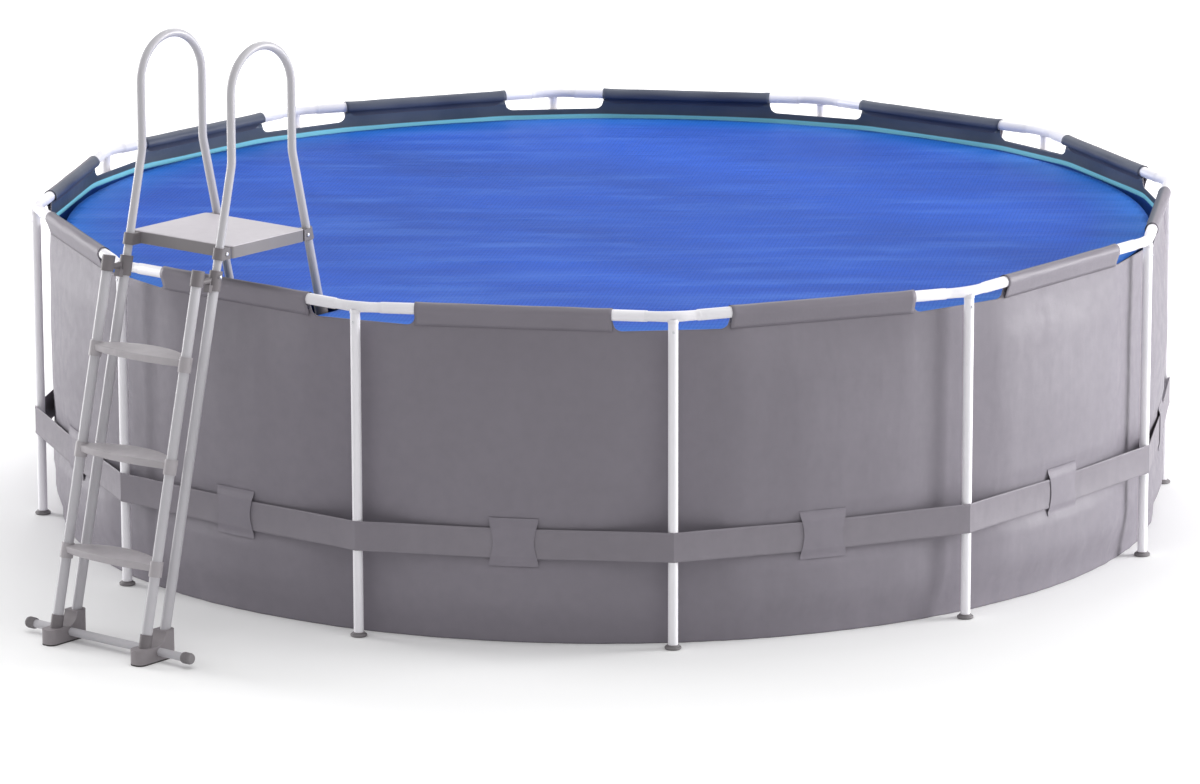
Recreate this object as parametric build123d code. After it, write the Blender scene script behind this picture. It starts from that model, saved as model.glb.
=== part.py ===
"""Round steel-frame pool with a floating solar cover and a boarding ladder.

Millimetres. +Z is up and the ground is z = 0. The origin is on the ground at the pool's centre.
The ladder stands over the wall on the -Y side, so +Y points from the ladder across the pool.
Bays are counted counter-clockwise from +X; uprights stand between the bays.
"""

from build123d import *
import os
from math import cos, radians, sin, tan

# --- Pool frame -----------------------------------------------------------------------------
BAYS = 12
UPRIGHT_RADIUS = 1830.0  # pool centre to the axis of an upright
RAIL_HEIGHT = 1005.0  # ground to the axis of the top rails
RAIL_OD = 34.0
RAIL_WALL = 1.5
UPRIGHT_OD = 30.0
UPRIGHT_WALL = 1.5
SLIP = 0.3  # radial clearance of parts that slide into each other
TEE_WALL = 2.0
TEE_SHOWN = 83.0  # tee centre to the end of the rail, along the rail
TEE_INSERT = 45.0  # length of a tee arm inside its rail
TEE_BORE = 90.0  # depth of the bore in each arm
TEE_COLLAR = 3.5  # collar shown between the tee's arms and the upright
STUB_LENGTH = 60.0
PIN_DROP = 25.0  # top of the upright to its snap pin
PIN_RADIUS = 4.0
PIN_PROUD = 2.5
FOOT_OD = 50.0
FOOT_PAD = 9.0
FOOT_HEIGHT = 24.0
FOOT_WALL = 3.5
FOOT_SOLE = 6.0  # thickness under the end of the upright

# --- Liner, support band and fittings ---------------------------------------------------------
LINER = 3.0  # thickness of wall and floor
CUTOUT_HALF = 185.0  # tee centre to the end of the rail sleeve, along the rail
CUTOUT_DROP = 50.0  # axis of the top rails to the cut-outs' lower edge
SLEEVE = 1.5
BAND_BOTTOM = 267.0
BAND_WIDTH = 90.0
BAND = 2.0
BAND_GAP = 0.3
LOOP_WIDTH = 150.0
LOOP_HEIGHT = 146.0
LOOP = 2.0
PORT_APART = 360.0
RETURN_HEIGHT = 700.0  # port that brings water back
SUCTION_HEIGHT = 520.0
SPIGOT_RADIUS = 16.0
SPIGOT_LENGTH = 45.0
SPIGOT_BORE = 13.0
PORT_NECK = 20.0
PORT_FLANGE = 40.0
PORT_FLANGE_THICK = 5.0
PORT_SHOULDER = 2.0  # neck shown beyond its nut
NUT_RADIUS = 38.0
NUT_THICK = 14.0
NUT_GRIPS = 8
NUT_GRIP_RADIUS = 6.0
PLUG_HEAD = 4.0
PLUG_RIM = 5.0
DRAIN_HEIGHT = 120.0
DRAIN_RADIUS = 14.0
DRAIN_LENGTH = 34.0
DRAIN_FLANGE = 34.0
DRAIN_FLANGE_THICK = 3.0
DRAIN_COLLAR_THICK = 4.0
DRAIN_WALL = 4.0
CAP_WALL = 3.5
CAP_END = 4.0
CAP_LENGTH = 26.0
CAP_GRIPS = 16
CAP_GRIP_RADIUS = 2.6
CAP_GRIP_DEPTH = 1.0

# --- Solar cover --------------------------------------------------------------------------------
COVER_GAP = 28.0  # cover's edge to the wall at the middle of a bay
COVER_DROP = 75.0  # axis of the top rails to the cover
FILM = 1.0
BUBBLES = 3.0
NOTCH_SIDE = 55.0  # axis of an inner leg to the side of the ladder's notch
NOTCH_CLEAR = 60.0  # axis of an inner leg to the notch's inner edge
NOTCH_CORNER = 40.0

# --- Ladder -------------------------------------------------------------------------------------
LADDER_STAND = 73.9  # axis of the top rail to the ladder's middle plane
LADDER_HALF = 180.0  # half the distance between the legs' axes
SPREAD = 13.4  # lean of every leg, degrees
BEND_RISE = 425.0  # top rails to where the handrails turn from upright to leaning
RAIL_HALF = 132.5  # half the width of a handrail
ARCH_RISE = 625.0  # top rails to where a handrail's arch begins
HANDRAIL_OD = 26.0
HANDRAIL_WALL = 1.5
BEND_RADIUS = 90.0
LEG_ACROSS = 14.0  # half the leg's oval section, along X
LEG_DEEP = 17.5  # half the leg's oval section, along the ladder's depth
LEG_WALL = 1.5
OUTER_SOCKET_RISE = 58.0  # top rails to the lower end of the outer sockets
INNER_SOCKET_DROP = 100.0  # top rails to the lower end of the inner sockets
SOCKET_HEIGHT = 58.0
SOCKET_WALL = 4.0
SOCKET_WEB = 6.0  # between the leg and the handrail inside a socket
STEP_OFFSET = 80.0  # step rail in front of the outer leg, measured level
TREADS = 3
FIRST_TREAD = 290.0  # ground to the top of the lowest treads
LAST_TREAD_DROP = 310.0  # top of the platform to the top of the highest treads
TREAD = 22.0
TREAD_INWARD = 64.0  # how far a tread's curved edge stands in from its ends
TREAD_OUTWARD = 20.0
TREAD_END = 15.0
TREAD_EDGE = 4.0
COLLAR_HEIGHT = 44.0
COLLAR_WALL = 4.0
COLLAR_DROP = 6.0  # middle of a collar below the middle of its tread
PLATFORM_RISE = 185.0  # top rails to the top of the platform
PLATFORM_DEEP = 326.0
PLATFORM_SIDE = 20.0  # axis of a leg to the platform's side
PLATFORM_THICK = 38.0
PLATFORM_SKIN = 4.0
PLATFORM_RIB = 3.0
PLATFORM_CORNER = 14.0
PLATFORM_EDGE = 3.0
BRACKET_HEIGHT = 34.0
BRACKET_WALL = 5.0
BOLT_HEAD = 5.5
BOLT_HEAD_THICK = 3.0
SHOE_WIDE = 52.0
SHOE_LOW = 48.0
SHOE_HIGH = 86.0
SHOE_FRONT = 36.0  # step rail's axis to the shoe's front end
SHOE_BACK = 43.0  # leg's axis at the ground to the shoe's back end
SHOE_SHOULDER = 8.0  # shown beyond the leg, at the top of the shoe
SHOE_CORNER = 22.0
SOLE = 4.0
SHOE_FLOOR = 12.0
BAR_RADIUS = 12.5
BAR_HEIGHT = 30.0
BAR_BEYOND = 150.0  # axis of a leg to the end of the base bar
BAR_WALL = 1.5
BAR_CAP = 34.0
BAR_CAP_WALL = 3.0
STEP_CAP_HEIGHT = 68.0
STEP_CAP_WALL = 3.0
HOOK_RISE = 25.0  # lower end of an outer socket to the lower end of the hook's cap
HOOK_HEIGHT = 46.0
HOOK_BAR = 9.0
TONGUE = 6.0
TONGUE_WIDE = 14.0
TONGUE_DROP = 22.0
POCKET_CLEAR = 0.5
BUTTON_RADIUS = 5.0
BUTTON_PROUD = 4.0
BUTTON_LENGTH = 14.0
BUTTON_RISE = 42.0  # lower end of an outer socket to the axis of its snap button
INNER_FOOT = 50.0
FOOT_GAP = 0.5  # inner feet to the pool floor

# --- Worked-out sizes ---------------------------------------------------------------------------
STEP = 360.0 / BAYS
HALF_BAY = STEP / 2
APOTHEM = UPRIGHT_RADIUS * cos(radians(HALF_BAY))
HALF_CHORD = UPRIGHT_RADIUS * sin(radians(HALF_BAY))
TEE_OD = RAIL_OD - 2 * RAIL_WALL - 2 * SLIP
UPRIGHT_TOP = RAIL_HEIGHT - TEE_OD / 2 - TEE_COLLAR
STUB_OD = UPRIGHT_OD - 2 * UPRIGHT_WALL - 2 * SLIP
SLEEVE_IN = RAIL_OD / 2 + SLIP
PANEL_HALF = HALF_CHORD - CUTOUT_HALF
WALL_OUT = APOTHEM + LINER / 2
WALL_IN = APOTHEM - LINER / 2
LEAN = tan(radians(SPREAD))
UP_OUTER = Vector(0, sin(radians(SPREAD)), cos(radians(SPREAD)))
UP_INNER = Vector(0, -sin(radians(SPREAD)), cos(radians(SPREAD)))
STEP_CAP_FOOT = SHOE_FLOOR + 4.0
PIN_HEIGHT = UPRIGHT_TOP - PIN_DROP
CUTOUT_BOTTOM = RAIL_HEIGHT - CUTOUT_DROP
RETURN_PORT = (PORT_APART / 2, RETURN_HEIGHT)
SUCTION_PORT = (-PORT_APART / 2, SUCTION_HEIGHT)
COVER_RADIUS = WALL_IN - COVER_GAP
COVER_TOP = RAIL_HEIGHT - COVER_DROP
LADDER_OUT = APOTHEM + LADDER_STAND
BEND_HEIGHT = RAIL_HEIGHT + BEND_RISE
ARCH_HEIGHT = RAIL_HEIGHT + ARCH_RISE
OUTER_SOCKET = RAIL_HEIGHT + OUTER_SOCKET_RISE
INNER_SOCKET = RAIL_HEIGHT - INNER_SOCKET_DROP
HOOK_LOW = OUTER_SOCKET + HOOK_RISE
BUTTON_HEIGHT = OUTER_SOCKET + BUTTON_RISE
PLATFORM_TOP = RAIL_HEIGHT + PLATFORM_RISE
PLATFORM_WIDE = 2 * (LADDER_HALF + PLATFORM_SIDE)
NOTCH_HALF = LADDER_HALF + NOTCH_SIDE
BAR_HALF = LADDER_HALF + BAR_BEYOND
TREAD_RISE = (PLATFORM_TOP - LAST_TREAD_DROP - FIRST_TREAD) / (TREADS - 1)
TREAD_HEIGHTS = [FIRST_TREAD + TREAD_RISE * i for i in range(TREADS)]


def bays(shape):
    """A copy of a shape modelled on the +X bay for each bay."""
    return [Rot(0, 0, STEP * i) * shape for i in range(BAYS)]


def uprights(shape):
    """A copy of a shape modelled on an upright at +X for each upright."""
    return [Rot(0, 0, STEP * i + HALF_BAY) * shape for i in range(BAYS)]


def rod(start, direction, radius, length):
    """A round bar from a point along a direction."""
    return extrude(Plane(origin=start, z_dir=direction) * Circle(radius), length)


def pipe(start, direction, outer, inner, length):
    """A round tube from a point along a direction."""
    return extrude(Plane(origin=start, z_dir=direction) * (Circle(outer) - Circle(inner)), length)


def oval(start, direction, grow, length):
    """A bar with the legs' oval section, grown by a wall or a clearance."""
    plane = Plane(origin=start, x_dir=(1, 0, 0), z_dir=direction)
    return extrude(plane * Ellipse(LEG_ACROSS + grow, LEG_DEEP + grow), length)


def block(x0, x1, y0, y1, z0, z1):
    """A box from its six sides."""
    return Pos((x0 + x1) / 2, (y0 + y1) / 2, (z0 + z1) / 2) * Box(x1 - x0, y1 - y0, z1 - z0)


def both_sides(shape):
    """A right-hand piece and its mirror image on the left."""
    return [mirror(shape, about=Plane.YZ), shape]


# --- Pool frame -----------------------------------------------------------------------------


def top_rail():
    half = HALF_CHORD - TEE_SHOWN
    return pipe((APOTHEM, -half, RAIL_HEIGHT), (0, 1, 0), RAIL_OD / 2, RAIL_OD / 2 - RAIL_WALL, 2 * half)


def tee():
    """Elbow that joins two rails, with a stub that drops into the upright."""
    turn = radians(90 + HALF_BAY)
    along = Vector(cos(turn), sin(turn), 0)
    centre = Vector(UPRIGHT_RADIUS, 0, RAIL_HEIGHT)
    reach = TEE_SHOWN + TEE_INSERT
    arm = rod(centre - along * TEE_OD, along, TEE_OD / 2, reach + TEE_OD)
    half = arm & block(0, 2 * UPRIGHT_RADIUS, 0, 2 * reach, 0, 2 * RAIL_HEIGHT)
    half -= rod(centre + along * (reach - TEE_BORE), along, TEE_OD / 2 - TEE_WALL, 2 * TEE_BORE)
    stub = UPRIGHT_TOP - STUB_LENGTH
    body = half + mirror(half, about=Plane.XZ)
    body += rod((UPRIGHT_RADIUS, 0, UPRIGHT_TOP), (0, 0, 1), UPRIGHT_OD / 2, RAIL_HEIGHT - UPRIGHT_TOP)
    body += rod((UPRIGHT_RADIUS, 0, stub), (0, 0, 1), STUB_OD / 2, STUB_LENGTH + TEE_COLLAR)
    body -= rod((UPRIGHT_RADIUS, 0, stub - 1), (0, 0, 1), STUB_OD / 2 - TEE_WALL, STUB_LENGTH)
    return body - pin_hole()


def pin_hole():
    return rod((UPRIGHT_RADIUS, 0, PIN_HEIGHT), (1, 0, 0), PIN_RADIUS + SLIP / 2, UPRIGHT_OD)


def upright():
    outside = UPRIGHT_OD / 2
    start = (UPRIGHT_RADIUS, 0, FOOT_SOLE)
    tube = pipe(start, (0, 0, 1), outside, outside - UPRIGHT_WALL, UPRIGHT_TOP - FOOT_SOLE)
    return tube - pin_hole()


def snap_pin():
    head_radius = PIN_RADIUS + 1.5
    inside = ((STUB_OD / 2 - TEE_WALL) ** 2 - head_radius**2) ** 0.5 - SLIP
    start = (UPRIGHT_RADIUS + inside - TEE_WALL, 0, PIN_HEIGHT)
    pin = rod(start, (1, 0, 0), PIN_RADIUS, UPRIGHT_RADIUS + UPRIGHT_OD / 2 + PIN_PROUD - start[0])
    head = rod(start, (1, 0, 0), head_radius, TEE_WALL)
    tip = pin.edges().sort_by(Axis.X)[-1]
    return fillet(tip, PIN_PROUD * 0.8) + head


def foot():
    pad = Pos(UPRIGHT_RADIUS, 0, FOOT_PAD / 2) * Cylinder(FOOT_OD / 2, FOOT_PAD)
    cup_radius = UPRIGHT_OD / 2 + SLIP + FOOT_WALL
    cup = Pos(UPRIGHT_RADIUS, 0, FOOT_HEIGHT / 2) * Cylinder(cup_radius, FOOT_HEIGHT)
    rim = pad.edges().filter_by(GeomType.CIRCLE).sort_by(Axis.Z)[-1]
    bore = rod((UPRIGHT_RADIUS, 0, FOOT_SOLE), (0, 0, 1), UPRIGHT_OD / 2 + SLIP, FOOT_HEIGHT)
    return fillet(rim, 3) + cup - bore


# --- Liner, band and fittings -----------------------------------------------------------------


def wall_corner(angle, side, offset):
    """Where a bay's panel meets the corner panel by an upright, in the plan of the bay at an angle."""
    mitre = radians(side * HALF_BAY / 2)
    reach = offset / cos(mitre)
    point = Vector(APOTHEM + reach * cos(mitre), side * PANEL_HALF + reach * sin(mitre), 0)
    return point.rotate(Axis.Z, angle)


def wall_slab(corners, top):
    face = make_face(Polyline(*corners, close=True))
    return extrude(face, top)


def bay_panel():
    skin = LINER / 2
    corners = [wall_corner(0, s, o) for s, o in ((-1, -skin), (-1, skin), (1, skin), (1, -skin))]
    return wall_slab(corners, RAIL_HEIGHT - SLEEVE_IN - SLEEVE)


def corner_panel():
    a = [wall_corner(-HALF_BAY, 1, o) for o in (-LINER / 2, LINER / 2)]
    b = [wall_corner(HALF_BAY, -1, o) for o in (LINER / 2, -LINER / 2)]
    return wall_slab(a + b, CUTOUT_BOTTOM)


def back_bay():
    """Index of the bay on +Y, which carries the ports and the drain valve."""
    return BAYS // 4


def fitting_holes():
    places = [(x, z, PORT_NECK) for x, z in (RETURN_PORT, SUCTION_PORT)] + [(0, DRAIN_HEIGHT, DRAIN_RADIUS)]
    return [rod((x, WALL_IN - LINER, z), (0, 1, 0), radius + SLIP, 3 * LINER) for x, z, radius in places]


def liner_walls():
    panels = bays(bay_panel())
    back = panels.pop(back_bay())
    for hole in fitting_holes():
        back -= hole
    return panels + uprights(corner_panel()), back


def liner_floor():
    rim = []
    for i in range(BAYS):
        rim += [wall_corner(STEP * i, side, -LINER / 2) for side in (-1, 1)]
    return extrude(make_face(Polyline(*rim, close=True)), LINER)


def rail_sleeve():
    start = (APOTHEM, -PANEL_HALF, RAIL_HEIGHT)
    return pipe(start, (0, 1, 0), SLEEVE_IN + SLEEVE, SLEEVE_IN, 2 * PANEL_HALF)


def band_inside():
    """Distance from the pool's centre to the band's inner face at the middle of a bay."""
    return APOTHEM + UPRIGHT_OD / 2 + BAND_GAP


def band_length():
    inner, outer = band_inside(), band_inside() + BAND
    slope = tan(radians(HALF_BAY))
    ends = [(inner, -inner * slope), (outer, -outer * slope)]
    corners = ends + [(x, -y) for x, y in reversed(ends)]
    return Pos(0, 0, BAND_BOTTOM) * extrude(make_face(Polyline(*corners, close=True)), BAND_WIDTH)


def band_loop():
    face = band_inside() + BAND + BAND_GAP
    middle = BAND_BOTTOM + BAND_WIDTH / 2
    low, high = middle - LOOP_HEIGHT / 2, middle + LOOP_HEIGHT / 2
    half = LOOP_WIDTH / 2
    plate = block(face, face + LOOP, -half, half, low, high)
    top = block(WALL_OUT, face, -half, half, high - LOOP, high)
    bottom = block(WALL_OUT, face, -half, half, low, low + LOOP)
    return plate + top + bottom


def pump_port(place):
    x, z = place
    inside = WALL_IN - PORT_FLANGE_THICK
    flange = rod((x, inside, z), (0, 1, 0), PORT_FLANGE, PORT_FLANGE_THICK)
    neck_end = WALL_OUT + NUT_THICK + PORT_SHOULDER
    neck = rod((x, inside, z), (0, 1, 0), PORT_NECK, neck_end - inside)
    spigot = rod((x, inside, z), (0, 1, 0), SPIGOT_RADIUS, neck_end - inside + SPIGOT_LENGTH)
    bore = rod((x, inside, z), (0, 1, 0), SPIGOT_BORE, neck_end - inside + SPIGOT_LENGTH)
    return flange + neck + spigot - bore


def port_nut(place):
    x, z = place
    ring = pipe((x, WALL_OUT, z), (0, 1, 0), NUT_RADIUS, PORT_NECK + SLIP, NUT_THICK)
    for i in range(NUT_GRIPS):
        notch = rod((NUT_RADIUS + NUT_GRIP_RADIUS / 2, WALL_OUT, 0), (0, 1, 0), NUT_GRIP_RADIUS, NUT_THICK)
        ring -= Pos(x, 0, z) * Rot(0, 360 / NUT_GRIPS * i, 0) * notch
    return ring


def port_plug(place):
    x, z = place
    inside = WALL_IN - PORT_FLANGE_THICK
    end = WALL_OUT + NUT_THICK + PORT_SHOULDER + SPIGOT_LENGTH
    stem = rod((x, inside, z), (0, 1, 0), SPIGOT_BORE - SLIP / 2, end - inside)
    head = rod((x, inside - PLUG_HEAD, z), (0, 1, 0), SPIGOT_BORE + PLUG_RIM, PLUG_HEAD)
    return stem + head


def drain_valve():
    inside = WALL_IN - DRAIN_FLANGE_THICK
    length = DRAIN_FLANGE_THICK + LINER + DRAIN_LENGTH
    flange = rod((0, inside, DRAIN_HEIGHT), (0, 1, 0), DRAIN_FLANGE, DRAIN_FLANGE_THICK)
    collar = rod((0, WALL_OUT, DRAIN_HEIGHT), (0, 1, 0), DRAIN_FLANGE, DRAIN_COLLAR_THICK)
    spout = rod((0, inside, DRAIN_HEIGHT), (0, 1, 0), DRAIN_RADIUS, length)
    bore = rod((0, inside, DRAIN_HEIGHT), (0, 1, 0), DRAIN_RADIUS - DRAIN_WALL, length)
    return flange + collar + spout - bore


def drain_cap():
    start = WALL_OUT + DRAIN_LENGTH + CAP_END + SLIP - CAP_LENGTH
    outside = DRAIN_RADIUS + SLIP + CAP_WALL
    cap = rod((0, start, DRAIN_HEIGHT), (0, 1, 0), outside, CAP_LENGTH)
    cap -= rod((0, start, DRAIN_HEIGHT), (0, 1, 0), DRAIN_RADIUS + SLIP, CAP_LENGTH - CAP_END)
    grip = outside + CAP_GRIP_RADIUS - CAP_GRIP_DEPTH
    for i in range(CAP_GRIPS):
        groove = rod((grip, start, 0), (0, 1, 0), CAP_GRIP_RADIUS, CAP_LENGTH)
        cap -= Pos(0, 0, DRAIN_HEIGHT) * Rot(0, 360 / CAP_GRIPS * i, 0) * groove
    return cap


# --- Solar cover --------------------------------------------------------------------------------


def cover_layer(low, thick):
    edge = -LADDER_OUT + inner_line(COVER_TOP) + NOTCH_CLEAR
    depth = COVER_RADIUS + edge
    outline = Circle(COVER_RADIUS) - Pos(0, edge - depth) * Rectangle(2 * NOTCH_HALF, 2 * depth)
    corners = outline.vertices().sort_by(Axis.Y)[-2:]
    return Pos(0, 0, low) * extrude(fillet(corners, NOTCH_CORNER), thick)


# --- Ladder -------------------------------------------------------------------------------------


def inner_line(height):
    """Level distance of a leaning leg's axis from the ladder's middle plane."""
    return RAIL_HALF + (BEND_HEIGHT - height) * LEAN


def outer_point(height, forward=0.0):
    """A point on the right outer leg's axis, or on the step rail in front of it."""
    return Vector(LADDER_HALF, -LADDER_OUT - inner_line(height) - forward, height)


def inner_point(height):
    return Vector(LADDER_HALF, -LADDER_OUT + inner_line(height), height)


def slant(length_up):
    """Length along a leg for a rise."""
    return length_up / cos(radians(SPREAD))


def socket_split(bottom):
    """Height of the web between the leg and the handrail in a socket."""
    return bottom + SOCKET_HEIGHT / 2


def handrail():
    low_out = socket_split(OUTER_SOCKET) + SOCKET_WEB / 2 + 1
    low_in = socket_split(INNER_SOCKET) + SOCKET_WEB / 2 + 1

    def at(y, z):
        return (LADDER_HALF, -LADDER_OUT + y, z)

    rise = [at(-inner_line(low_out), low_out), at(-RAIL_HALF, BEND_HEIGHT), at(-RAIL_HALF, ARCH_HEIGHT)]
    fall = [at(RAIL_HALF, ARCH_HEIGHT), at(RAIL_HALF, BEND_HEIGHT), at(inner_line(low_in), low_in)]
    outer = FilletPolyline(*rise, radius=BEND_RADIUS)
    arch = ThreePointArc(rise[-1], at(0, ARCH_HEIGHT + RAIL_HALF), fall[0])
    inner = FilletPolyline(*fall, radius=BEND_RADIUS)
    path = Wire(outer.edges() + arch.edges() + inner.edges())
    start = Plane(origin=path @ 0, z_dir=path % 0)
    skin = sweep(start * Circle(HANDRAIL_OD / 2), path=path)
    return skin - sweep(start * Circle(HANDRAIL_OD / 2 - HANDRAIL_WALL), path=path) - button_hole()


def leg(point, up, low, bottom):
    """A leg from its foot up into the socket whose lower end is at a height."""
    length = slant(socket_split(bottom) - SOCKET_WEB / 2 - 1 - low)
    tube = oval(point(low), up, 0, length)
    return tube - oval(point(low), up, -LEG_WALL, length)


def socket(point, up, bottom):
    """Plastic joint that holds a leg from below and a handrail from above."""
    base = point(bottom)
    body = oval(base, up, SOCKET_WALL, slant(SOCKET_HEIGHT))
    leg_hole = oval(base, up, SLIP, slant(SOCKET_HEIGHT / 2 - SOCKET_WEB / 2))
    split = point(socket_split(bottom) + SOCKET_WEB / 2)
    rail_hole = rod(split, up, HANDRAIL_OD / 2 + SLIP, slant(SOCKET_HEIGHT))
    return body - leg_hole - rail_hole


def tongue_shape(grow, drop):
    """The hook's tongue, or the pocket that takes it, in front of the right outer leg."""
    front = LEG_DEEP + SOCKET_WALL + 2 + TONGUE / 2
    origin = outer_point(HOOK_LOW - drop) + Vector(0, -front, 0)
    plane = Plane(origin=origin, x_dir=(1, 0, 0), z_dir=UP_OUTER)
    height = slant(drop) + HOOK_BAR * 2
    return extrude(plane * Rectangle(TONGUE_WIDE + 2 * grow, TONGUE + 2 * grow), height)


def outer_socket():
    """The outer leg's socket also carries the pocket that the step unit hooks into."""
    body = socket(outer_point, UP_OUTER, OUTER_SOCKET)
    front = LEG_DEEP + SOCKET_WALL + TONGUE / 2 + 1
    low = HOOK_LOW - TONGUE_DROP - 3
    origin = outer_point(low) + Vector(0, -front, 0)
    plane = Plane(origin=origin, x_dir=(1, 0, 0), z_dir=UP_OUTER)
    holder = extrude(plane * Rectangle(TONGUE_WIDE + 7, TONGUE + 10), slant(TONGUE_DROP))
    keep = oval(outer_point(low - TONGUE_DROP), UP_OUTER, SLIP, slant(3 * TONGUE_DROP))
    return body + (holder - keep - tongue_shape(POCKET_CLEAR, TONGUE_DROP + 0.5)) - button_hole()


def button_hole():
    """Space of the snap button through the outer wall of a handrail and its socket."""
    return rod(outer_point(BUTTON_HEIGHT), (1, 0, 0), BUTTON_RADIUS + SLIP / 2, 2 * HANDRAIL_OD)


def snap_button():
    """Button inside the handrail that holds it in its socket."""
    outside = LEG_ACROSS + SOCKET_WALL + BUTTON_PROUD
    start = outer_point(BUTTON_HEIGHT) + Vector(outside - BUTTON_LENGTH, 0, 0)
    button = rod(start, (1, 0, 0), BUTTON_RADIUS, BUTTON_LENGTH)
    tip = button.edges().filter_by(GeomType.CIRCLE).sort_by(Axis.X)[-1]
    return fillet(tip, 1.5)


def hook():
    """Cap on the step rail with the bar and tongue that hang it on the outer leg."""
    base = outer_point(HOOK_LOW, STEP_OFFSET)
    body = oval(base, UP_OUTER, SOCKET_WALL, slant(HOOK_HEIGHT))
    rail_hole = oval(base, UP_OUTER, SLIP, slant(HOOK_HEIGHT - 5))
    front = LEG_DEEP + SOCKET_WALL + 2 + TONGUE / 2
    middle = HOOK_LOW + HOOK_BAR
    start = outer_point(middle, STEP_OFFSET)
    bar = rod(start, (0, 1, 0), HOOK_BAR, STEP_OFFSET - front)
    return body + bar + tongue_shape(0, TONGUE_DROP) - rail_hole


def step_rail():
    low = STEP_CAP_FOOT + 5
    high = HOOK_LOW + HOOK_HEIGHT - 6
    length = slant(high - low)
    start = outer_point(low, STEP_OFFSET)
    return oval(start, UP_OUTER, 0, length) - oval(start, UP_OUTER, -LEG_WALL, length)


def step_cap():
    base = outer_point(STEP_CAP_FOOT, STEP_OFFSET)
    body = oval(base, UP_OUTER, STEP_CAP_WALL, slant(STEP_CAP_HEIGHT))
    return body - oval(outer_point(STEP_CAP_FOOT + 4.5, STEP_OFFSET), UP_OUTER, SLIP, slant(STEP_CAP_HEIGHT))


def tread(point, up, top, inward):
    """A tread with a collar round the leg at each end. inward is +1 where +Y points into the ladder."""
    y = point(top - TREAD / 2).Y

    def edge(depth, bulge):
        end = y + depth
        return ThreePointArc((-LADDER_HALF, end, 0), (0, end + bulge, 0), (LADDER_HALF, end, 0))

    near = edge(-inward * TREAD_END, -inward * TREAD_OUTWARD)
    far = edge(inward * TREAD_END, inward * TREAD_INWARD)
    sides = [Line(near @ 0, far @ 0), Line(near @ 1, far @ 1)]
    board = Pos(0, 0, top - TREAD) * extrude(make_face([near, far] + sides), TREAD)
    body = fillet(board.edges().filter_by(GeomType.CIRCLE), TREAD_EDGE)
    low = top - TREAD / 2 - COLLAR_HEIGHT / 2 - COLLAR_DROP
    for collar, bore in zip(
        both_sides(oval(point(low), up, COLLAR_WALL, slant(COLLAR_HEIGHT))),
        both_sides(oval(point(low - 2), up, SLIP, slant(COLLAR_HEIGHT + 4))),
    ):
        body = body + collar - bore
    return body


def step_point(height):
    return outer_point(height, STEP_OFFSET)


def platform():
    low = PLATFORM_TOP - PLATFORM_THICK
    middle = (0, -LADDER_OUT, PLATFORM_TOP - PLATFORM_THICK / 2)
    body = Pos(*middle) * Box(PLATFORM_WIDE, PLATFORM_DEEP, PLATFORM_THICK)
    body = fillet(body.edges().filter_by(Axis.Z), PLATFORM_CORNER)
    body = fillet(body.faces().sort_by(Axis.Z)[-1].edges(), PLATFORM_EDGE)
    wide, deep = PLATFORM_WIDE - 2 * PLATFORM_SKIN, PLATFORM_DEEP - 2 * PLATFORM_SKIN
    height = PLATFORM_THICK - PLATFORM_SKIN
    body -= Pos(0, -LADDER_OUT, low + height / 2) * Box(wide, deep, height)
    for i in (-1, 0, 1):
        body += Pos(i * wide / 4, -LADDER_OUT, low + height / 2 + 3) * Box(PLATFORM_RIB, deep, height - 6)
        body += Pos(0, -LADDER_OUT + i * deep / 4, low + height / 2 + 3) * Box(wide, PLATFORM_RIB, height - 6)
    return body


def platform_bracket(side):
    """Clamp on a handrail that carries a corner of the platform; side is -1 outside and +1 over the water."""
    point, up = (outer_point, UP_OUTER) if side < 0 else (inner_point, UP_INNER)
    low = PLATFORM_TOP - PLATFORM_THICK
    ring = rod(point(low), up, HANDRAIL_OD / 2 + BRACKET_WALL, slant(BRACKET_HEIGHT))
    ends = sorted([-LADDER_OUT + side * PLATFORM_DEEP / 2, point(low + BRACKET_HEIGHT / 2).Y])
    half = HANDRAIL_OD / 2 + BRACKET_WALL
    arm = block(LADDER_HALF - half, LADDER_HALF + half, *ends, low, low + BRACKET_HEIGHT)
    return ring + arm - rod(point(low - 20), up, HANDRAIL_OD / 2 + SLIP, slant(BRACKET_HEIGHT + 60))


def bracket_bolt(side):
    """Bolt with a domed head on the outer face of a platform bracket."""
    point = outer_point if side < 0 else inner_point
    height = PLATFORM_TOP - PLATFORM_THICK + BRACKET_HEIGHT / 2
    face = LADDER_HALF + HANDRAIL_OD / 2 + BRACKET_WALL
    y = (point(height).Y - LADDER_OUT + side * PLATFORM_DEEP / 2) / 2
    head = rod((face, y, height), (1, 0, 0), BOLT_HEAD, BOLT_HEAD_THICK)
    rim = head.edges().filter_by(GeomType.CIRCLE).sort_by(Axis.X)[-1]
    return fillet(rim, 2)


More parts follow.
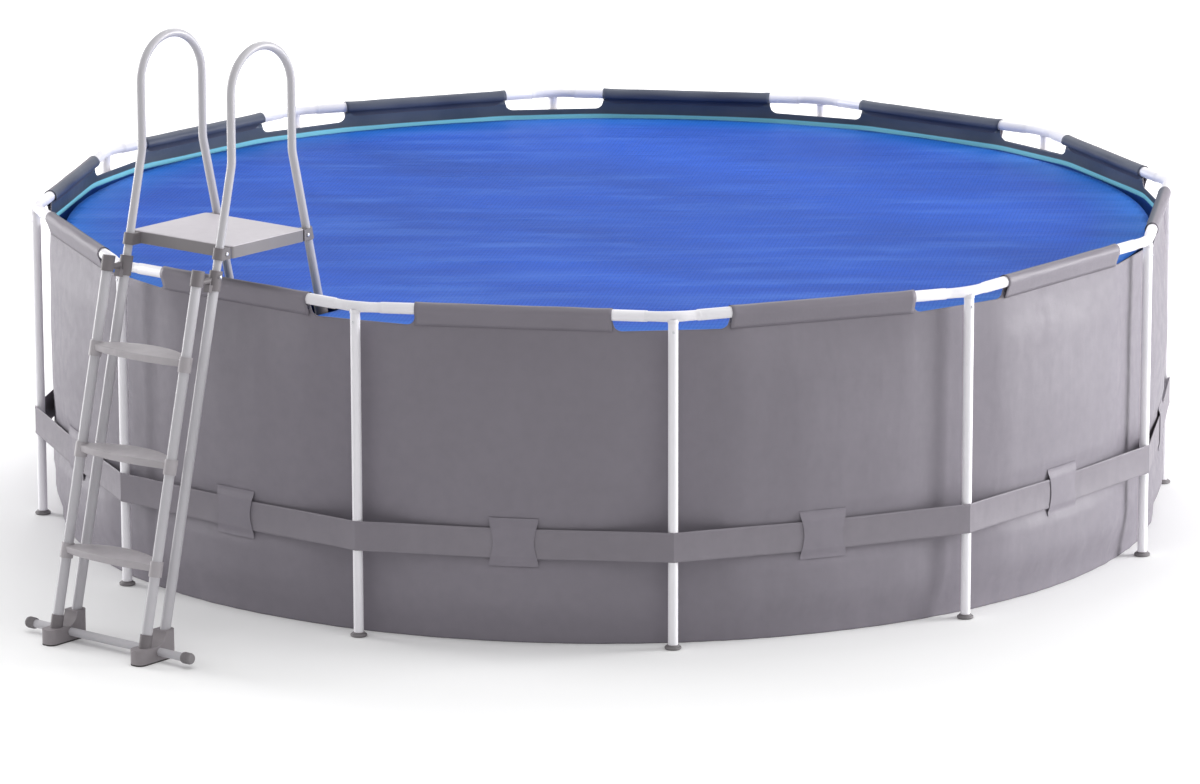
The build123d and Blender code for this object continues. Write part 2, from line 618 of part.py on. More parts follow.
def shoe():
    """Base block that holds an outer leg, the base bar and the foot of the step rail."""
    leg_y = outer_point(0).Y
    front = outer_point(0, STEP_OFFSET).Y - SHOE_FRONT
    back = leg_y + SHOE_BACK
    dip = outer_point(SHOE_LOW, STEP_OFFSET).Y + LEG_DEEP + STEP_CAP_WALL + 6
    crest = outer_point(SHOE_HIGH).Y
    reach = LEG_DEEP + SHOE_SHOULDER
    sag = ((dip + crest - reach) / 2 + 5, SHOE_LOW + (SHOE_HIGH - SHOE_LOW) / 4)
    side = [
        Line((front, SOLE), (front, SHOE_LOW)),
        Line((front, SHOE_LOW), (dip, SHOE_LOW)),
        ThreePointArc((dip, SHOE_LOW), sag, (crest - reach, SHOE_HIGH)),
        Line((crest - reach, SHOE_HIGH), (crest + reach, SHOE_HIGH)),
        Line((crest + reach, SHOE_HIGH), (back, SOLE + 20)),
        Line((back, SOLE + 20), (back, SOLE)),
        Line((back, SOLE), (front, SOLE)),
    ]
    plane = Plane(origin=(LADDER_HALF - SHOE_WIDE / 2, 0, 0), x_dir=(0, 1, 0), z_dir=(1, 0, 0))
    body = extrude(plane * make_face(side), SHOE_WIDE)
    plan = Pos(LADDER_HALF, (front + back) / 2) * RectangleRounded(SHOE_WIDE, back - front, SHOE_CORNER)
    body = body & (Pos(0, 0, SOLE) * extrude(plan, SHOE_HIGH))
    leg_hole = oval(outer_point(SHOE_FLOOR), UP_OUTER, SLIP, 2 * SHOE_HIGH)
    cap_hole = oval(step_point(STEP_CAP_FOOT - 1), UP_OUTER, STEP_CAP_WALL + POCKET_CLEAR, 2 * SHOE_HIGH)
    return body - leg_hole - cap_hole - base_bar_space(SLIP)


def shoe_sole():
    front = outer_point(0, STEP_OFFSET).Y - SHOE_FRONT
    back = outer_point(0).Y + SHOE_BACK
    plan = Pos(LADDER_HALF, (front + back) / 2) * RectangleRounded(SHOE_WIDE, back - front, SHOE_CORNER)
    return extrude(plan, SOLE)


def bar_line():
    """Where the base bar passes, between the leg and the step rail."""
    return outer_point(BAR_HEIGHT, STEP_OFFSET / 2 - 1).Y


def base_bar_space(clear):
    return rod((-BAR_HALF, bar_line(), BAR_HEIGHT), (1, 0, 0), BAR_RADIUS + clear, 2 * BAR_HALF)


def base_bar():
    inside = rod((-BAR_HALF, bar_line(), BAR_HEIGHT), (1, 0, 0), BAR_RADIUS - BAR_WALL, 2 * BAR_HALF)
    return base_bar_space(0) - inside


def bar_cap():
    start = BAR_HALF - BAR_CAP + 4
    outer = rod((start, bar_line(), BAR_HEIGHT), (1, 0, 0), BAR_RADIUS + SLIP + BAR_CAP_WALL, BAR_CAP)
    rim = outer.edges().filter_by(GeomType.CIRCLE).sort_by(Axis.X)[-1]
    outer = fillet(rim, 5)
    return outer - rod((start, bar_line(), BAR_HEIGHT), (1, 0, 0), BAR_RADIUS + SLIP, BAR_HALF - start)


def inner_foot():
    base = inner_point(LINER + FOOT_GAP)
    body = oval(inner_point(LINER + FOOT_GAP - 10), UP_INNER, 5, slant(INNER_FOOT + 10))
    above = block(0, 400, base.Y - 100, base.Y + 100, LINER + FOOT_GAP, INNER_FOOT * 3)
    bore = oval(inner_point(LINER + FOOT_GAP + 8), UP_INNER, SLIP, slant(INNER_FOOT * 2))
    return (body & above) - bore


def write(name, solids):
    """One STEP file for a node, from one shape or a list of separate pieces."""
    pieces = []
    for shape in solids if isinstance(solids, list) else [solids]:
        pieces += shape.solids()
    export_step(Compound(children=pieces) if len(pieces) > 1 else pieces[0], f"parts/{name}.step")
    print(name, len(pieces), round(sum(p.volume for p in pieces) / 1000), "cm3")


def main():
    os.makedirs("parts", exist_ok=True)
    write("top_rails", bays(top_rail()))
    for i, piece in enumerate(uprights(upright())):
        write(f"upright_{i + 1:02d}", piece)
    write("tee_joints", uprights(tee()))
    write("snap_pins", uprights(snap_pin()))
    write("upright_feet", uprights(foot()))

    panels, back = liner_walls()
    write("liner_wall", panels)
    write("liner_port_panel", back)
    write("liner_floor", liner_floor())
    write("rail_sleeves", bays(rail_sleeve()))
    write("support_band", bays(band_length()))
    write("band_loops", bays(band_loop()))
    ports = (RETURN_PORT, SUCTION_PORT)
    write("pump_ports", [pump_port(p) for p in ports])
    write("port_nuts", [port_nut(p) for p in ports])
    write("port_plugs", [port_plug(p) for p in ports])
    write("drain_valve", drain_valve())
    write("drain_cap", drain_cap())

    write("cover_top_film", cover_layer(COVER_TOP - FILM, FILM))
    write("cover_bubble_film", cover_layer(COVER_TOP - FILM - BUBBLES, BUBBLES))

    pairs = {
        "handrail": handrail(),
        "outer_leg": leg(outer_point, UP_OUTER, SHOE_FLOOR + 1, OUTER_SOCKET),
        "inner_leg": leg(inner_point, UP_INNER, LINER + FOOT_GAP + 12, INNER_SOCKET),
        "outer_socket": outer_socket(),
        "base_shoe": shoe(),
        "snap_button": snap_button(),
        "step_rail": step_rail(),
        "hook_bracket": hook(),
    }
    for name, piece in pairs.items():
        for side, copy in zip(("left", "right"), both_sides(piece)):
            write(f"{name}_{side}", copy)
    write("inner_sockets", both_sides(socket(inner_point, UP_INNER, INNER_SOCKET)))
    write("inner_feet", both_sides(inner_foot()))
    write("shoe_soles", both_sides(shoe_sole()))
    write("step_caps", both_sides(step_cap()))
    write("base_bar", base_bar())
    write("bar_caps", both_sides(bar_cap()))
    write("platform", platform())
    write("platform_brackets", both_sides(platform_bracket(-1)) + both_sides(platform_bracket(1)))
    write("platform_bolts", both_sides(bracket_bolt(-1)) + both_sides(bracket_bolt(1)))
    for i, top in enumerate(TREAD_HEIGHTS):
        write(f"outer_tread_{i + 1}", tread(step_point, UP_OUTER, top, 1))
    write("inner_treads", [tread(inner_point, UP_INNER, top, -1) for top in TREAD_HEIGHTS])


main()
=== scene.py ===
"""Looks for a round frame pool with a floating solar cover and a boarding ladder.

Metres, in the model's own frame: +Z up, the ladder on the -Y side, the origin on the ground.
"""

from math import asin, atan2, cos, exp, hypot, pi, radians, sin, sqrt, tan, tau

import bmesh
import bpy
from mathutils import Matrix, Vector, noise
from mathutils.geometry import delaunay_2d_cdt


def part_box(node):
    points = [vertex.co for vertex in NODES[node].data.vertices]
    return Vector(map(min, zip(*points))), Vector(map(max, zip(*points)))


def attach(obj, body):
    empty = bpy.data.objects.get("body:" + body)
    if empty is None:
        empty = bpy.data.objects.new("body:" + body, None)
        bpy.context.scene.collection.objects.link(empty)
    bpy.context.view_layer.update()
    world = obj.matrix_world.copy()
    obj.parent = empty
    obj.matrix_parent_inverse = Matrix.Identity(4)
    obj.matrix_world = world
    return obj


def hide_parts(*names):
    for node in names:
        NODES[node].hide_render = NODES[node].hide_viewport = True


bl_info = {
    "name": "Frame pool with solar cover",
    "version": (1, 0, 0),
    "blender": (4, 5, 0),
    "location": "3D View > Sidebar > Pool",
    "description": "Makes the vinyl, film, tube and plastic pieces of a frame pool around its packed model",
    "category": "Add Mesh",
}

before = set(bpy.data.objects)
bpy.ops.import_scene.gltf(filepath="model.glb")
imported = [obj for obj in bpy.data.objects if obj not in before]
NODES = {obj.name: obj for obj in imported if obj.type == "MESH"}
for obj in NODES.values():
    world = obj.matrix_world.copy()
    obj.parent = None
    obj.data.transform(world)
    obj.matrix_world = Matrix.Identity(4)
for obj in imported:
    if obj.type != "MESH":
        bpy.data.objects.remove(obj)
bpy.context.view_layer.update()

# --- Sizes read from the model ---
BAYS = 12
STEP = tau / BAYS
HALF_BAY = STEP / 2
UPRIGHTS = [f"upright_{i + 1:02d}" for i in range(BAYS)]
RAILS_LOW, RAILS_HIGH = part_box("top_rails")
RAIL_RADIUS = (RAILS_HIGH.z - RAILS_LOW.z) / 2
RAIL_HEIGHT = (RAILS_HIGH.z + RAILS_LOW.z) / 2
APOTHEM = RAILS_HIGH.x - RAIL_RADIUS
UPRIGHT_RADIUS = APOTHEM / cos(HALF_BAY)
HALF_CHORD = APOTHEM * tan(HALF_BAY)
UPRIGHT_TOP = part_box(UPRIGHTS[0])[1].z
FLOOR_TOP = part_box("liner_floor")[1].z
BAND_LOW, BAND_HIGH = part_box("support_band")
LOOPS_LOW, LOOPS_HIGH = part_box("band_loops")
COVER_LOW, COVER_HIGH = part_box("cover_top_film")
BUBBLES_LOW, BUBBLES_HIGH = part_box("cover_bubble_film")
CAPS_LOW, CAPS_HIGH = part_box("bar_caps")
PLATFORM_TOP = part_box("platform")[1].z

# --- Sizes that the model's boxes don't give ---
WALL_THICK = 0.003
TEE_SHOWN = 0.083
TEE_REACH = 0.128
TEE_RADIUS = 0.0152
SLEEVE_GAP = 0.180
CUTOUT_BOTTOM = 0.955
CUTOUT_CORNER = 0.030
WALL_TOP = 0.986
WALL_LIFT = 0.0004  # what keeps the wall off the ground
FLOOR_LIFT = 0.0006
BAND_THICK = 0.002
LOOP_HALF = 0.075
LOOP_THICK = 0.0018
CORNER_RADIUS = 1.7824
NOTCH_HALF = 0.235
NOTCH_EDGE = -1.530
NOTCH_CORNER = 0.040
WATER_LINE = 0.936
FOLD_TURN = 0.68  # direction of the cover's main folds, from +X
BUBBLE_PITCH = 0.014
FILM_SPACING = 0.022  # between the points of the cover's meshes
FILM_GAP = 0.0002
PORT_PLACES = ((0.180, 0.700), (-0.180, 0.520))
PORT_HOLE = 0.0203
DRAIN_HOLE = 0.0143
DRAIN_HEIGHT = 0.120

# Camera: the direction it looks from, its distance and its lens.
VIEW_TURN = 39.08
VIEW_LIFT = 13.20
VIEW_DISTANCE = 19.652
VIEW_LENS = 182.07
VIEW_ROLL = -0.126
VIEW_AIM = (-0.0256, 0.0, 0.3536)  # before the turn


def paint(red, green, blue):
    """A display colour, 0 to 255, as the linear colour that shaders take."""

    def linear(value):
        value /= 255
        return value / 12.92 if value <= 0.04045 else ((value + 0.055) / 1.055) ** 2.4

    return (linear(red), linear(green), linear(blue), 1.0)


# --- Mesh tools ---


def smooth_step(value):
    value = min(1.0, max(0.0, value))
    return value * value * (3 - 2 * value)


def through(knots, place):
    """A smooth value through (place, value) knots."""
    for (a, low), (b, high) in zip(knots, knots[1:]):
        if place <= b:
            return low + (high - low) * smooth_step((place - a) / (b - a))
    return knots[-1][1]


def drift(x, y, z):
    """Smooth noise from -1 to 1, the same in every run."""
    return noise.noise(Vector((x, y, z)))


def new_object(name, mesh, *finishes):
    made = bpy.data.objects.new(name, mesh)
    bpy.context.scene.collection.objects.link(made)
    for finish in finishes:
        mesh.materials.append(finish)
    return made


def mesh_from(name, points, faces, finish_of=None):
    """A smooth mesh from points and faces; finish_of numbers each face's finish."""
    mesh = bpy.data.meshes.new(name)
    mesh.from_pydata([tuple(p) for p in points], [], faces)
    if finish_of:
        mesh.polygons.foreach_set("material_index", finish_of)
    mesh.polygons.foreach_set("use_smooth", [True] * len(mesh.polygons))
    mesh.update()
    return mesh


def turn_outwards(mesh):
    """Merges points that coincide and turns the faces outwards."""
    work = bmesh.new()
    work.from_mesh(mesh)
    bmesh.ops.remove_doubles(work, verts=work.verts, dist=1e-6)
    bmesh.ops.recalc_face_normals(work, faces=work.faces)
    work.to_mesh(mesh)
    work.free()
    return mesh


def sharpen(mesh, degrees):
    """Keeps an edge sharp where two faces meet at more than an angle."""
    work = bmesh.new()
    work.from_mesh(mesh)
    limit = radians(degrees)
    for edge in work.edges:
        edge.smooth = len(edge.link_faces) == 2 and edge.calc_face_angle(0) < limit
    work.to_mesh(mesh)
    work.free()
    return mesh


def loft(name, rings, closed=False, capped=True, finish_of=None):
    """A skin over rings of points, each with the same count; finish_of numbers each span's finish."""
    count = len(rings[0])
    points = [p for ring in rings for p in ring]
    faces = []
    for i in range(len(rings) if closed else len(rings) - 1):
        a, b = i * count, (i + 1) % len(rings) * count
        faces += [(a + k, a + (k + 1) % count, b + (k + 1) % count, b + k) for k in range(count)]
    if capped and not closed:
        last = len(points) - count
        faces += [tuple(reversed(range(count))), tuple(range(last, last + count))]
    of_faces = finish_of and [finish for finish in finish_of for _ in range(count)]
    return turn_outwards(mesh_from(name, points, faces, of_faces))


def circle(centre, across, up, radius, count=32):
    """Points round a centre in the plane of two unit vectors."""
    turns = [tau * k / count for k in range(count)]
    return [centre + across * (radius * cos(t)) + up * (radius * sin(t)) for t in turns]


def lathe(name, start, along, profile, count=32):
    """A round piece from (distance along the axis, radius) pairs; the skin closes where the profile does."""
    along = Vector(along).normalized()
    across = along.orthogonal().normalized()
    up = along.cross(across)
    rings = [circle(Vector(start) + along * d, across, up, r, count) for d, r in profile]
    return loft(name, rings, closed=True)


def join(name, meshes):
    """Several meshes as one."""
    work = bmesh.new()
    for mesh in meshes:
        work.from_mesh(mesh)
    made = bpy.data.meshes.new(name)
    work.to_mesh(made)
    work.free()
    return made


# --- Geometry Nodes ---


class Nodes:
    """Adds nodes to a tree; a node's inputs take plain values or other nodes' outputs."""

    def __init__(self, tree):
        self.tree = tree

    def add(self, kind, feeds=None, **settings):
        made = self.tree.nodes.new(kind)
        for key, value in settings.items():
            setattr(made, key, value)
        for key, value in (feeds or {}).items():
            if isinstance(value, bpy.types.NodeSocket):
                self.tree.links.new(value, made.inputs[key])
            else:
                made.inputs[key].default_value = value
        return made

    def math(self, operation, *values):
        return self.add("ShaderNodeMath", dict(enumerate(values)), operation=operation).outputs[0]


class Repeater(Nodes):
    """A geometry node tree with one geometry input and named size inputs."""

    def __init__(self, name, sizes):
        super().__init__(bpy.data.node_groups.new(name, "GeometryNodeTree"))
        face = self.tree.interface
        for way in ("INPUT", "OUTPUT"):
            face.new_socket("Geometry", in_out=way, socket_type="NodeSocketGeometry")
        for label, kind, default in sizes:
            face.new_socket(label, in_out="INPUT", socket_type=kind).default_value = default
        self.source = self.tree.nodes.new("NodeGroupInput").outputs
        self.sink = self.tree.nodes.new("NodeGroupOutput").inputs[0]

    def close(self, finish, points, **feeds):
        """Puts the piece on the points, as real geometry with its finish."""
        feeds = {"Points": points, "Instance": self.source["Geometry"], **feeds}
        copies = self.add("GeometryNodeInstanceOnPoints", feeds).outputs[0]
        real = self.add("GeometryNodeRealizeInstances", {"Geometry": copies}).outputs[0]
        coated = self.add("GeometryNodeSetMaterial", {"Geometry": real, "Material": finish}).outputs[0]
        self.tree.links.new(coated, self.sink)
        return self.tree


def ring_tree(name, finish):
    """Repeats the piece round the pool, with a small seeded wobble of each copy."""
    made = Repeater(name, (("Count", "NodeSocketInt", BAYS), ("Start", "NodeSocketFloat", 0.0),
                           ("Wobble", "NodeSocketFloat", 0.0), ("Seed", "NodeSocketInt", 1)))
    count, wobble = made.source["Count"], made.source["Wobble"]
    points = made.add("GeometryNodePoints", {"Count": count}).outputs[0]
    index = made.add("GeometryNodeInputIndex").outputs[0]
    turned = made.math("MULTIPLY", index, made.math("DIVIDE", tau, count))
    angle = made.math("ADD", turned, made.source["Start"])
    feeds = {2: made.math("MULTIPLY", wobble, -1.0), 3: wobble, "Seed": made.source["Seed"]}
    stray = made.add("FunctionNodeRandomValue", feeds, data_type="FLOAT").outputs[1]
    turn = made.add("ShaderNodeCombineXYZ", {"Z": made.math("ADD", angle, stray)}).outputs[0]
    return made.close(finish, points, Rotation=turn)


def row_tree(name, finish):
    """Repeats the piece along a straight line."""
    made = Repeater(name, (("Count", "NodeSocketInt", 5), ("Pitch", "NodeSocketVector", (0.01, 0, 0))))
    feeds = {"Count": made.source["Count"], "Offset": made.source["Pitch"]}
    return made.close(finish, made.add("GeometryNodeMeshLine", feeds).outputs[0])


def keep_result(piece):
    """Makes what a piece's modifiers give its own plain mesh."""
    bpy.context.view_layer.update()
    evaluated = piece.evaluated_get(bpy.context.evaluated_depsgraph_get())
    result = bpy.data.meshes.new_from_object(evaluated)
    piece.modifiers.clear()
    piece.data = result
    return piece


def repeated(piece, tree, **sizes):
    """Runs a tree on a piece and keeps the result."""
    modifier = piece.modifiers.new("Repeat", "NODES")
    modifier.node_group = tree
    for item in tree.interface.items_tree:
        if item.in_out == "INPUT" and item.name in sizes:
            modifier[item.identifier] = sizes[item.name]
    return keep_result(piece)


def settle(piece, body, slot, *nodes):
    """Puts a piece on the body it rides on and hides the nodes it replaces; the slot is not used."""
    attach(piece, body)
    if nodes:
        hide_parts(*nodes)
    return piece


def round_the_pool(name, mesh, finish, slot, node, **sizes):
    """A piece modelled once, on the +X bay or upright, and repeated in every bay."""
    piece = repeated(new_object(name, mesh, finish), ring_tree(f"{name} ring", finish), **sizes)
    return settle(piece, "pool", slot, node)


# --- Finishes ---


class Finish(Nodes):
    """A procedural material: its nodes read Object coordinates in metres, or the piece's own UV map."""

    def __init__(self, name, roughness=0.5, specular=0.5, metallic=0.0, coat=0.0):
        self.material = bpy.data.materials.new(name)
        self.material.use_nodes = True
        super().__init__(self.material.node_tree)
        self.shader = self.tree.nodes["Principled BSDF"]
        labels = ("Roughness", "Specular IOR Level", "Metallic", "Coat Weight")
        for label, value in zip(labels, (roughness, specular, metallic, coat)):
            self.shader.inputs[label].default_value = value
        self.place = self.add("ShaderNodeTexCoord").outputs["Object"]

    def noise(self, scale, detail=2.0, stretch=(1, 1, 1), roughness=0.5, place=None):
        place = self.add("ShaderNodeMapping", {"Vector": place or self.place, "Scale": stretch}).outputs[0]
        feeds = {"Vector": place, "Scale": scale, "Detail": detail, "Roughness": roughness}
        return self.add("ShaderNodeTexNoise", feeds).outputs["Fac"]

    def remap(self, value, low=0.3, high=0.7, to_low=0.0, to_high=1.0):
        feeds = {0: value, 1: low, 2: high, 3: to_low, 4: to_high}
        return self.add("ShaderNodeMapRange", feeds, clamp=True).outputs[0]

    def mix(self, share, first, second):
        return self.add("ShaderNodeMix", {0: share, 6: first, 7: second}, data_type="RGBA").outputs[2]

    def axes(self):
        return self.add("ShaderNodeSeparateXYZ", {0: self.place}).outputs

    def length(self, x, y):
        squares = [self.math("MULTIPLY", way, way) for way in (x, y)]
        return self.math("SQRT", self.math("ADD", *squares))

    def bumps(self, *layers):
        """A normal from (height, depth) layers, each on top of the one before."""
        normal = None
        for height, depth in layers:
            feeds = {"Height": height, "Distance": depth, "Strength": 1.0}
            if normal is not None:
                feeds["Normal"] = normal
            normal = self.add("ShaderNodeBump", feeds).outputs[0]
        return normal

    def set(self, socket, value):
        self.tree.links.new(value, self.shader.inputs[socket])

    def done(self, colour, normal=None, roughness=None):
        for socket, value in (("Base Color", colour), ("Normal", normal), ("Roughness", roughness)):
            if value is not None:
                self.set(socket, value)
        return self.material


def shade(colour, share):
    return tuple(c * share for c in colour[:3]) + (1.0,)


def vinyl(name, colour, roughness=0.5, specular=0.35):
    """Laminated vinyl: a woven scrim shows faintly through a satin skin."""
    made = Finish(name, roughness, specular)
    cloudy = made.noise(1.6, 3.0, (1, 1, 0.6))
    fine = made.noise(26.0, 3.0)
    tone = made.mix(made.remap(cloudy), shade(colour, 0.93), shade(colour, 1.05))
    tone = made.mix(made.remap(fine, 0.35, 0.75, 0.0, 0.35), tone, shade(colour, 0.9))
    x, y, z = made.axes()
    round_way = made.math("MULTIPLY", made.math("ARCTAN2", y, x), UPRIGHT_RADIUS)
    threads = [made.math("SINE", made.math("MULTIPLY", way, tau / 0.0016)) for way in (round_way, z)]
    normal = made.bumps((made.noise(9.0, 3.0, (1, 1, 0.35)), 0.0035), (made.noise(140.0, 2.0), 0.00025),
                        (made.math("MULTIPLY", *threads), 0.00006))
    return made.done(tone, normal, made.remap(fine, 0.3, 0.7, roughness - 0.07, roughness + 0.07))


def waterside_vinyl(name):
    """The liner's inside: bright blue under the water line, a painted highlight band just under it, dark grey
    above it.
    """
    made = Finish(name, 0.42, 0.3)
    wander = made.math("MULTIPLY", made.math("SUBTRACT", made.noise(2.2), 0.5), 0.006)
    height = made.math("ADD", made.axes()[2], wander)
    deep = made.mix(made.remap(height, 0.05, 0.8), paint(34, 96, 190), paint(40, 84, 186))
    ripple = made.noise(7.0, 4.0, (1, 1, 1.6))
    deep = made.mix(made.remap(ripple, 0.35, 0.7, 0.0, 0.3), deep, paint(70, 130, 220))
    # Painted highlight: a pale cyan band on the liner just under the water line.
    line = made.remap(height, WATER_LINE - 0.018, WATER_LINE - 0.015)
    bright = made.mix(line, deep, paint(140, 224, 255))
    grey = made.mix(made.remap(made.noise(3.5, 3.0)), paint(66, 79, 100), paint(90, 100, 118))
    tone = made.mix(made.remap(height, WATER_LINE - 0.002, WATER_LINE + 0.001), bright, grey)
    normal = made.bumps((made.noise(12.0, 3.0), 0.002), (made.noise(160.0, 2.0), 0.0002))
    return made.done(tone, normal, made.remap(ripple, 0.3, 0.7, 0.34, 0.5))


def powder_coat(name, colour, dust=0.12):
    """Powder coat on steel: fine orange peel, with dust and small scuffs."""
    made = Finish(name, 0.36, 0.45, coat=0.15)
    made.shader.inputs["Coat Roughness"].default_value = 0.25
    colour = shade(colour, 1.0)
    patches = made.noise(5.0, 4.0)
    scuffs = made.noise(60.0, 5.0, (1, 1, 0.2), 0.7)
    tone = made.mix(made.remap(patches, 0.35, 0.7, 0.0, dust), colour, shade(colour, 0.78))
    tone = made.mix(made.remap(scuffs, 0.66, 0.74, 0.0, 0.5), tone, shade(colour, 0.72))
    normal = made.bumps((made.noise(900.0, 2.0), 0.00006), (scuffs, 0.00008))
    return made.done(tone, normal, made.remap(patches, 0.3, 0.7, 0.30, 0.44))


def moulded(name, colour, grain=1400.0, depth=0.00008, roughness=0.5):
    """Moulded plastic with a spark-eroded grain, paler where it is rubbed."""
    made = Finish(name, roughness, 0.4)
    rubbed = made.noise(38.0, 4.0, (1, 1, 0.5), 0.65)
    tone = made.mix(made.remap(made.noise(11.0, 3.0)), shade(colour, 0.92), shade(colour, 1.06))
    tone = made.mix(made.remap(rubbed, 0.6, 0.78, 0.0, 0.45), tone, shade(colour, 1.22))
    normal = made.bumps((made.noise(60.0, 2.0), 0.0001), (made.noise(grain, 2.0), depth))
    return made.done(tone, normal, made.remap(rubbed, 0.3, 0.8, roughness + 0.05, roughness - 0.1))


def two_tone(name, top, skirt):
    """Grained plastic with a pale insert on top and a darker skirt round it."""
    made = Finish(name, 0.5, 0.4)
    insert = made.remap(made.axes()[2], PLATFORM_TOP - 0.0032, PLATFORM_TOP - 0.0022)
    cloud = made.remap(made.noise(7.0, 2.0))
    pale = made.mix(cloud, shade(top, 0.97), shade(top, 1.03))
    deep = made.mix(cloud, shade(skirt, 0.94), shade(skirt, 1.05))
    normal = made.bumps((made.noise(900.0, 2.0), 0.0001))
    return made.done(made.mix(insert, deep, pale), normal, made.remap(made.noise(30.0), 0.3, 0.7, 0.44, 0.56))


def bubble_distance(made, offset=(0.0, 0.0)):
    """Distance to the nearest bubble's middle in a honeycomb of bubbles, as a share of the pitch."""
    x, y, _ = made.axes()
    across = made.math("ADD", made.math("DIVIDE", x, BUBBLE_PITCH), offset[0])
    along = made.math("ADD", made.math("DIVIDE", y, BUBBLE_PITCH * sqrt(3)), offset[1])
    found = []
    for shift in (0.0, 0.5):
        shares = [made.math("FRACT", made.math("ADD", way, shift)) for way in (across, along)]
        a, b = [made.math("SUBTRACT", share, 0.5) for share in shares]
        found.append(made.length(a, made.math("MULTIPLY", b, sqrt(3))))
    return made.math("MINIMUM", *found)


def blue_film(name, colour):
    """Top of the solar cover: blue film, a paler disc over each bubble and a small pip between them.

    Painted light: highlights round the discs and on the folds, shade in the folds' hollows and a sheen near
    the edge.
    """
    made = Finish(name, 0.5, 0.06)
    far = bubble_distance(made)
    disc = made.remap(far, 0.43, 0.38)
    # rim: a painted highlight, a thin pale ring round the edge of each bubble's disc.
    rim = made.remap(made.math("ABSOLUTE", made.math("SUBTRACT", far, 0.40)), 0.035, 0.0)
    pip = made.remap(bubble_distance(made, (0.0, 1 / 3)), 0.11, 0.08)
    swirl = made.noise(210.0, 3.0, roughness=0.7)
    broad = made.noise(1.1, 4.0, (0.7, 1.6, 1))
    base = made.mix(made.remap(broad), shade(colour, 0.82), shade(colour, 1.16))
    gap = made.mix(0.3, base, paint(16, 26, 70))
    lit = made.mix(made.remap(swirl, 0.55, 0.75, 0.0, 0.35), base, paint(40, 120, 215))
    tone = made.mix(made.math("MAXIMUM", disc, pip), gap, lit)
    # Paints the highlight ring round each bubble.
    tone = made.mix(made.math("MULTIPLY", rim, 0.2), tone, paint(110, 155, 225))
    reach = made.length(*made.axes()[:2])
    # Painted sheen: the film is made paler over the last 0.2 m before its edge; hem is the welded edge's own
    # colour.
    painted_edge_sheen = made.remap(reach, COVER_HIGH.x - 0.20, COVER_HIGH.x - 0.02, 0.0, 0.55)
    hem = made.remap(reach, COVER_HIGH.x - 0.010, COVER_HIGH.x - 0.008)
    tone = made.mix(hem, made.mix(painted_edge_sheen, tone, paint(40, 124, 214)), paint(44, 104, 200))
    height = made.math("ADD", disc, made.math("MULTIPLY", pip, 0.5))
    height = made.math("MULTIPLY", height, made.math("SUBTRACT", 1.0, hem))
    feeds = {"Vector": made.place, "Angle": -FOLD_TURN}
    turned = made.add("ShaderNodeVectorRotate", feeds, rotation_type="Z_AXIS").outputs[0]
    streaks = made.noise(4.0, 4.0, (0.45, 2.4, 1), 0.6, turned)
    # Painted light on the folds: a pale painted highlight where the streaks rise, painted shade where they
    # sink.
    tone = made.mix(made.remap(streaks, 0.5, 0.72, 0.0, 0.3), tone, paint(92, 140, 226))
    tone = made.mix(made.remap(streaks, 0.48, 0.3, 0.0, 0.25), tone, paint(16, 56, 150))
    normal = made.bumps((streaks, 0.010), (height, 0.00022))
    return made.done(tone, normal, made.remap(disc, 0.0, 1.0, 0.55, 0.45))


def black_film(name):
    """Underside of the solar cover: glossy black domes."""
    made = Finish(name, 0.18, 0.5, coat=0.4)
    far = bubble_distance(made)
    rise = made.math("SUBTRACT", 0.165, made.math("MULTIPLY", far, far))
    dome = made.math("SQRT", made.math("MAXIMUM", rise, 0.0))
    tone = made.mix(made.remap(dome, 0.0, 0.12), paint(66, 60, 54), paint(14, 14, 15))
    normal = made.bumps((dome, 0.008), (made.noise(260.0, 3.0, roughness=0.6), 0.0004))
    return made.done(tone, normal, made.remap(dome, 0.0, 0.2, 0.4, 0.12))


def rubber(name, colour):
    """Matt rubber with pale dust on it."""
    made = Finish(name, 0.78, 0.3)
    dust = made.noise(24.0, 5.0, roughness=0.7)
    tone = made.mix(made.remap(dust, 0.4, 0.75, 0.0, 0.6), colour, shade(colour, 1.9))
    normal = made.bumps((made.noise(500.0, 3.0), 0.0002))
    return made.done(tone, normal, made.remap(dust, 0.3, 0.7, 0.7, 0.88))


def zinc(name):
    """Bright plating with a drawn grain."""
    made = Finish(name, 0.3, 0.5, metallic=1.0)
    grain = made.noise(420.0, 3.0, (1, 1, 0.1))
    tone = made.mix(made.remap(grain), paint(205, 207, 212), paint(235, 236, 240))
    return made.done(tone, made.bumps((grain, 0.00004)), made.remap(grain, 0.3, 0.7, 0.22, 0.4))


# --- User settings ---


def colour_setting(label, description, *display):
    return bpy.props.FloatVectorProperty(name=label, description=description, subtype="COLOR", size=4,
                                         min=0.0, max=1.0, default=paint(*display))


def size_setting(label, description, value, low=0.0, high=1.0):
    return bpy.props.FloatProperty(name=label, description=description, default=value, min=low, max=high,
                                   subtype="DISTANCE", unit="LENGTH")


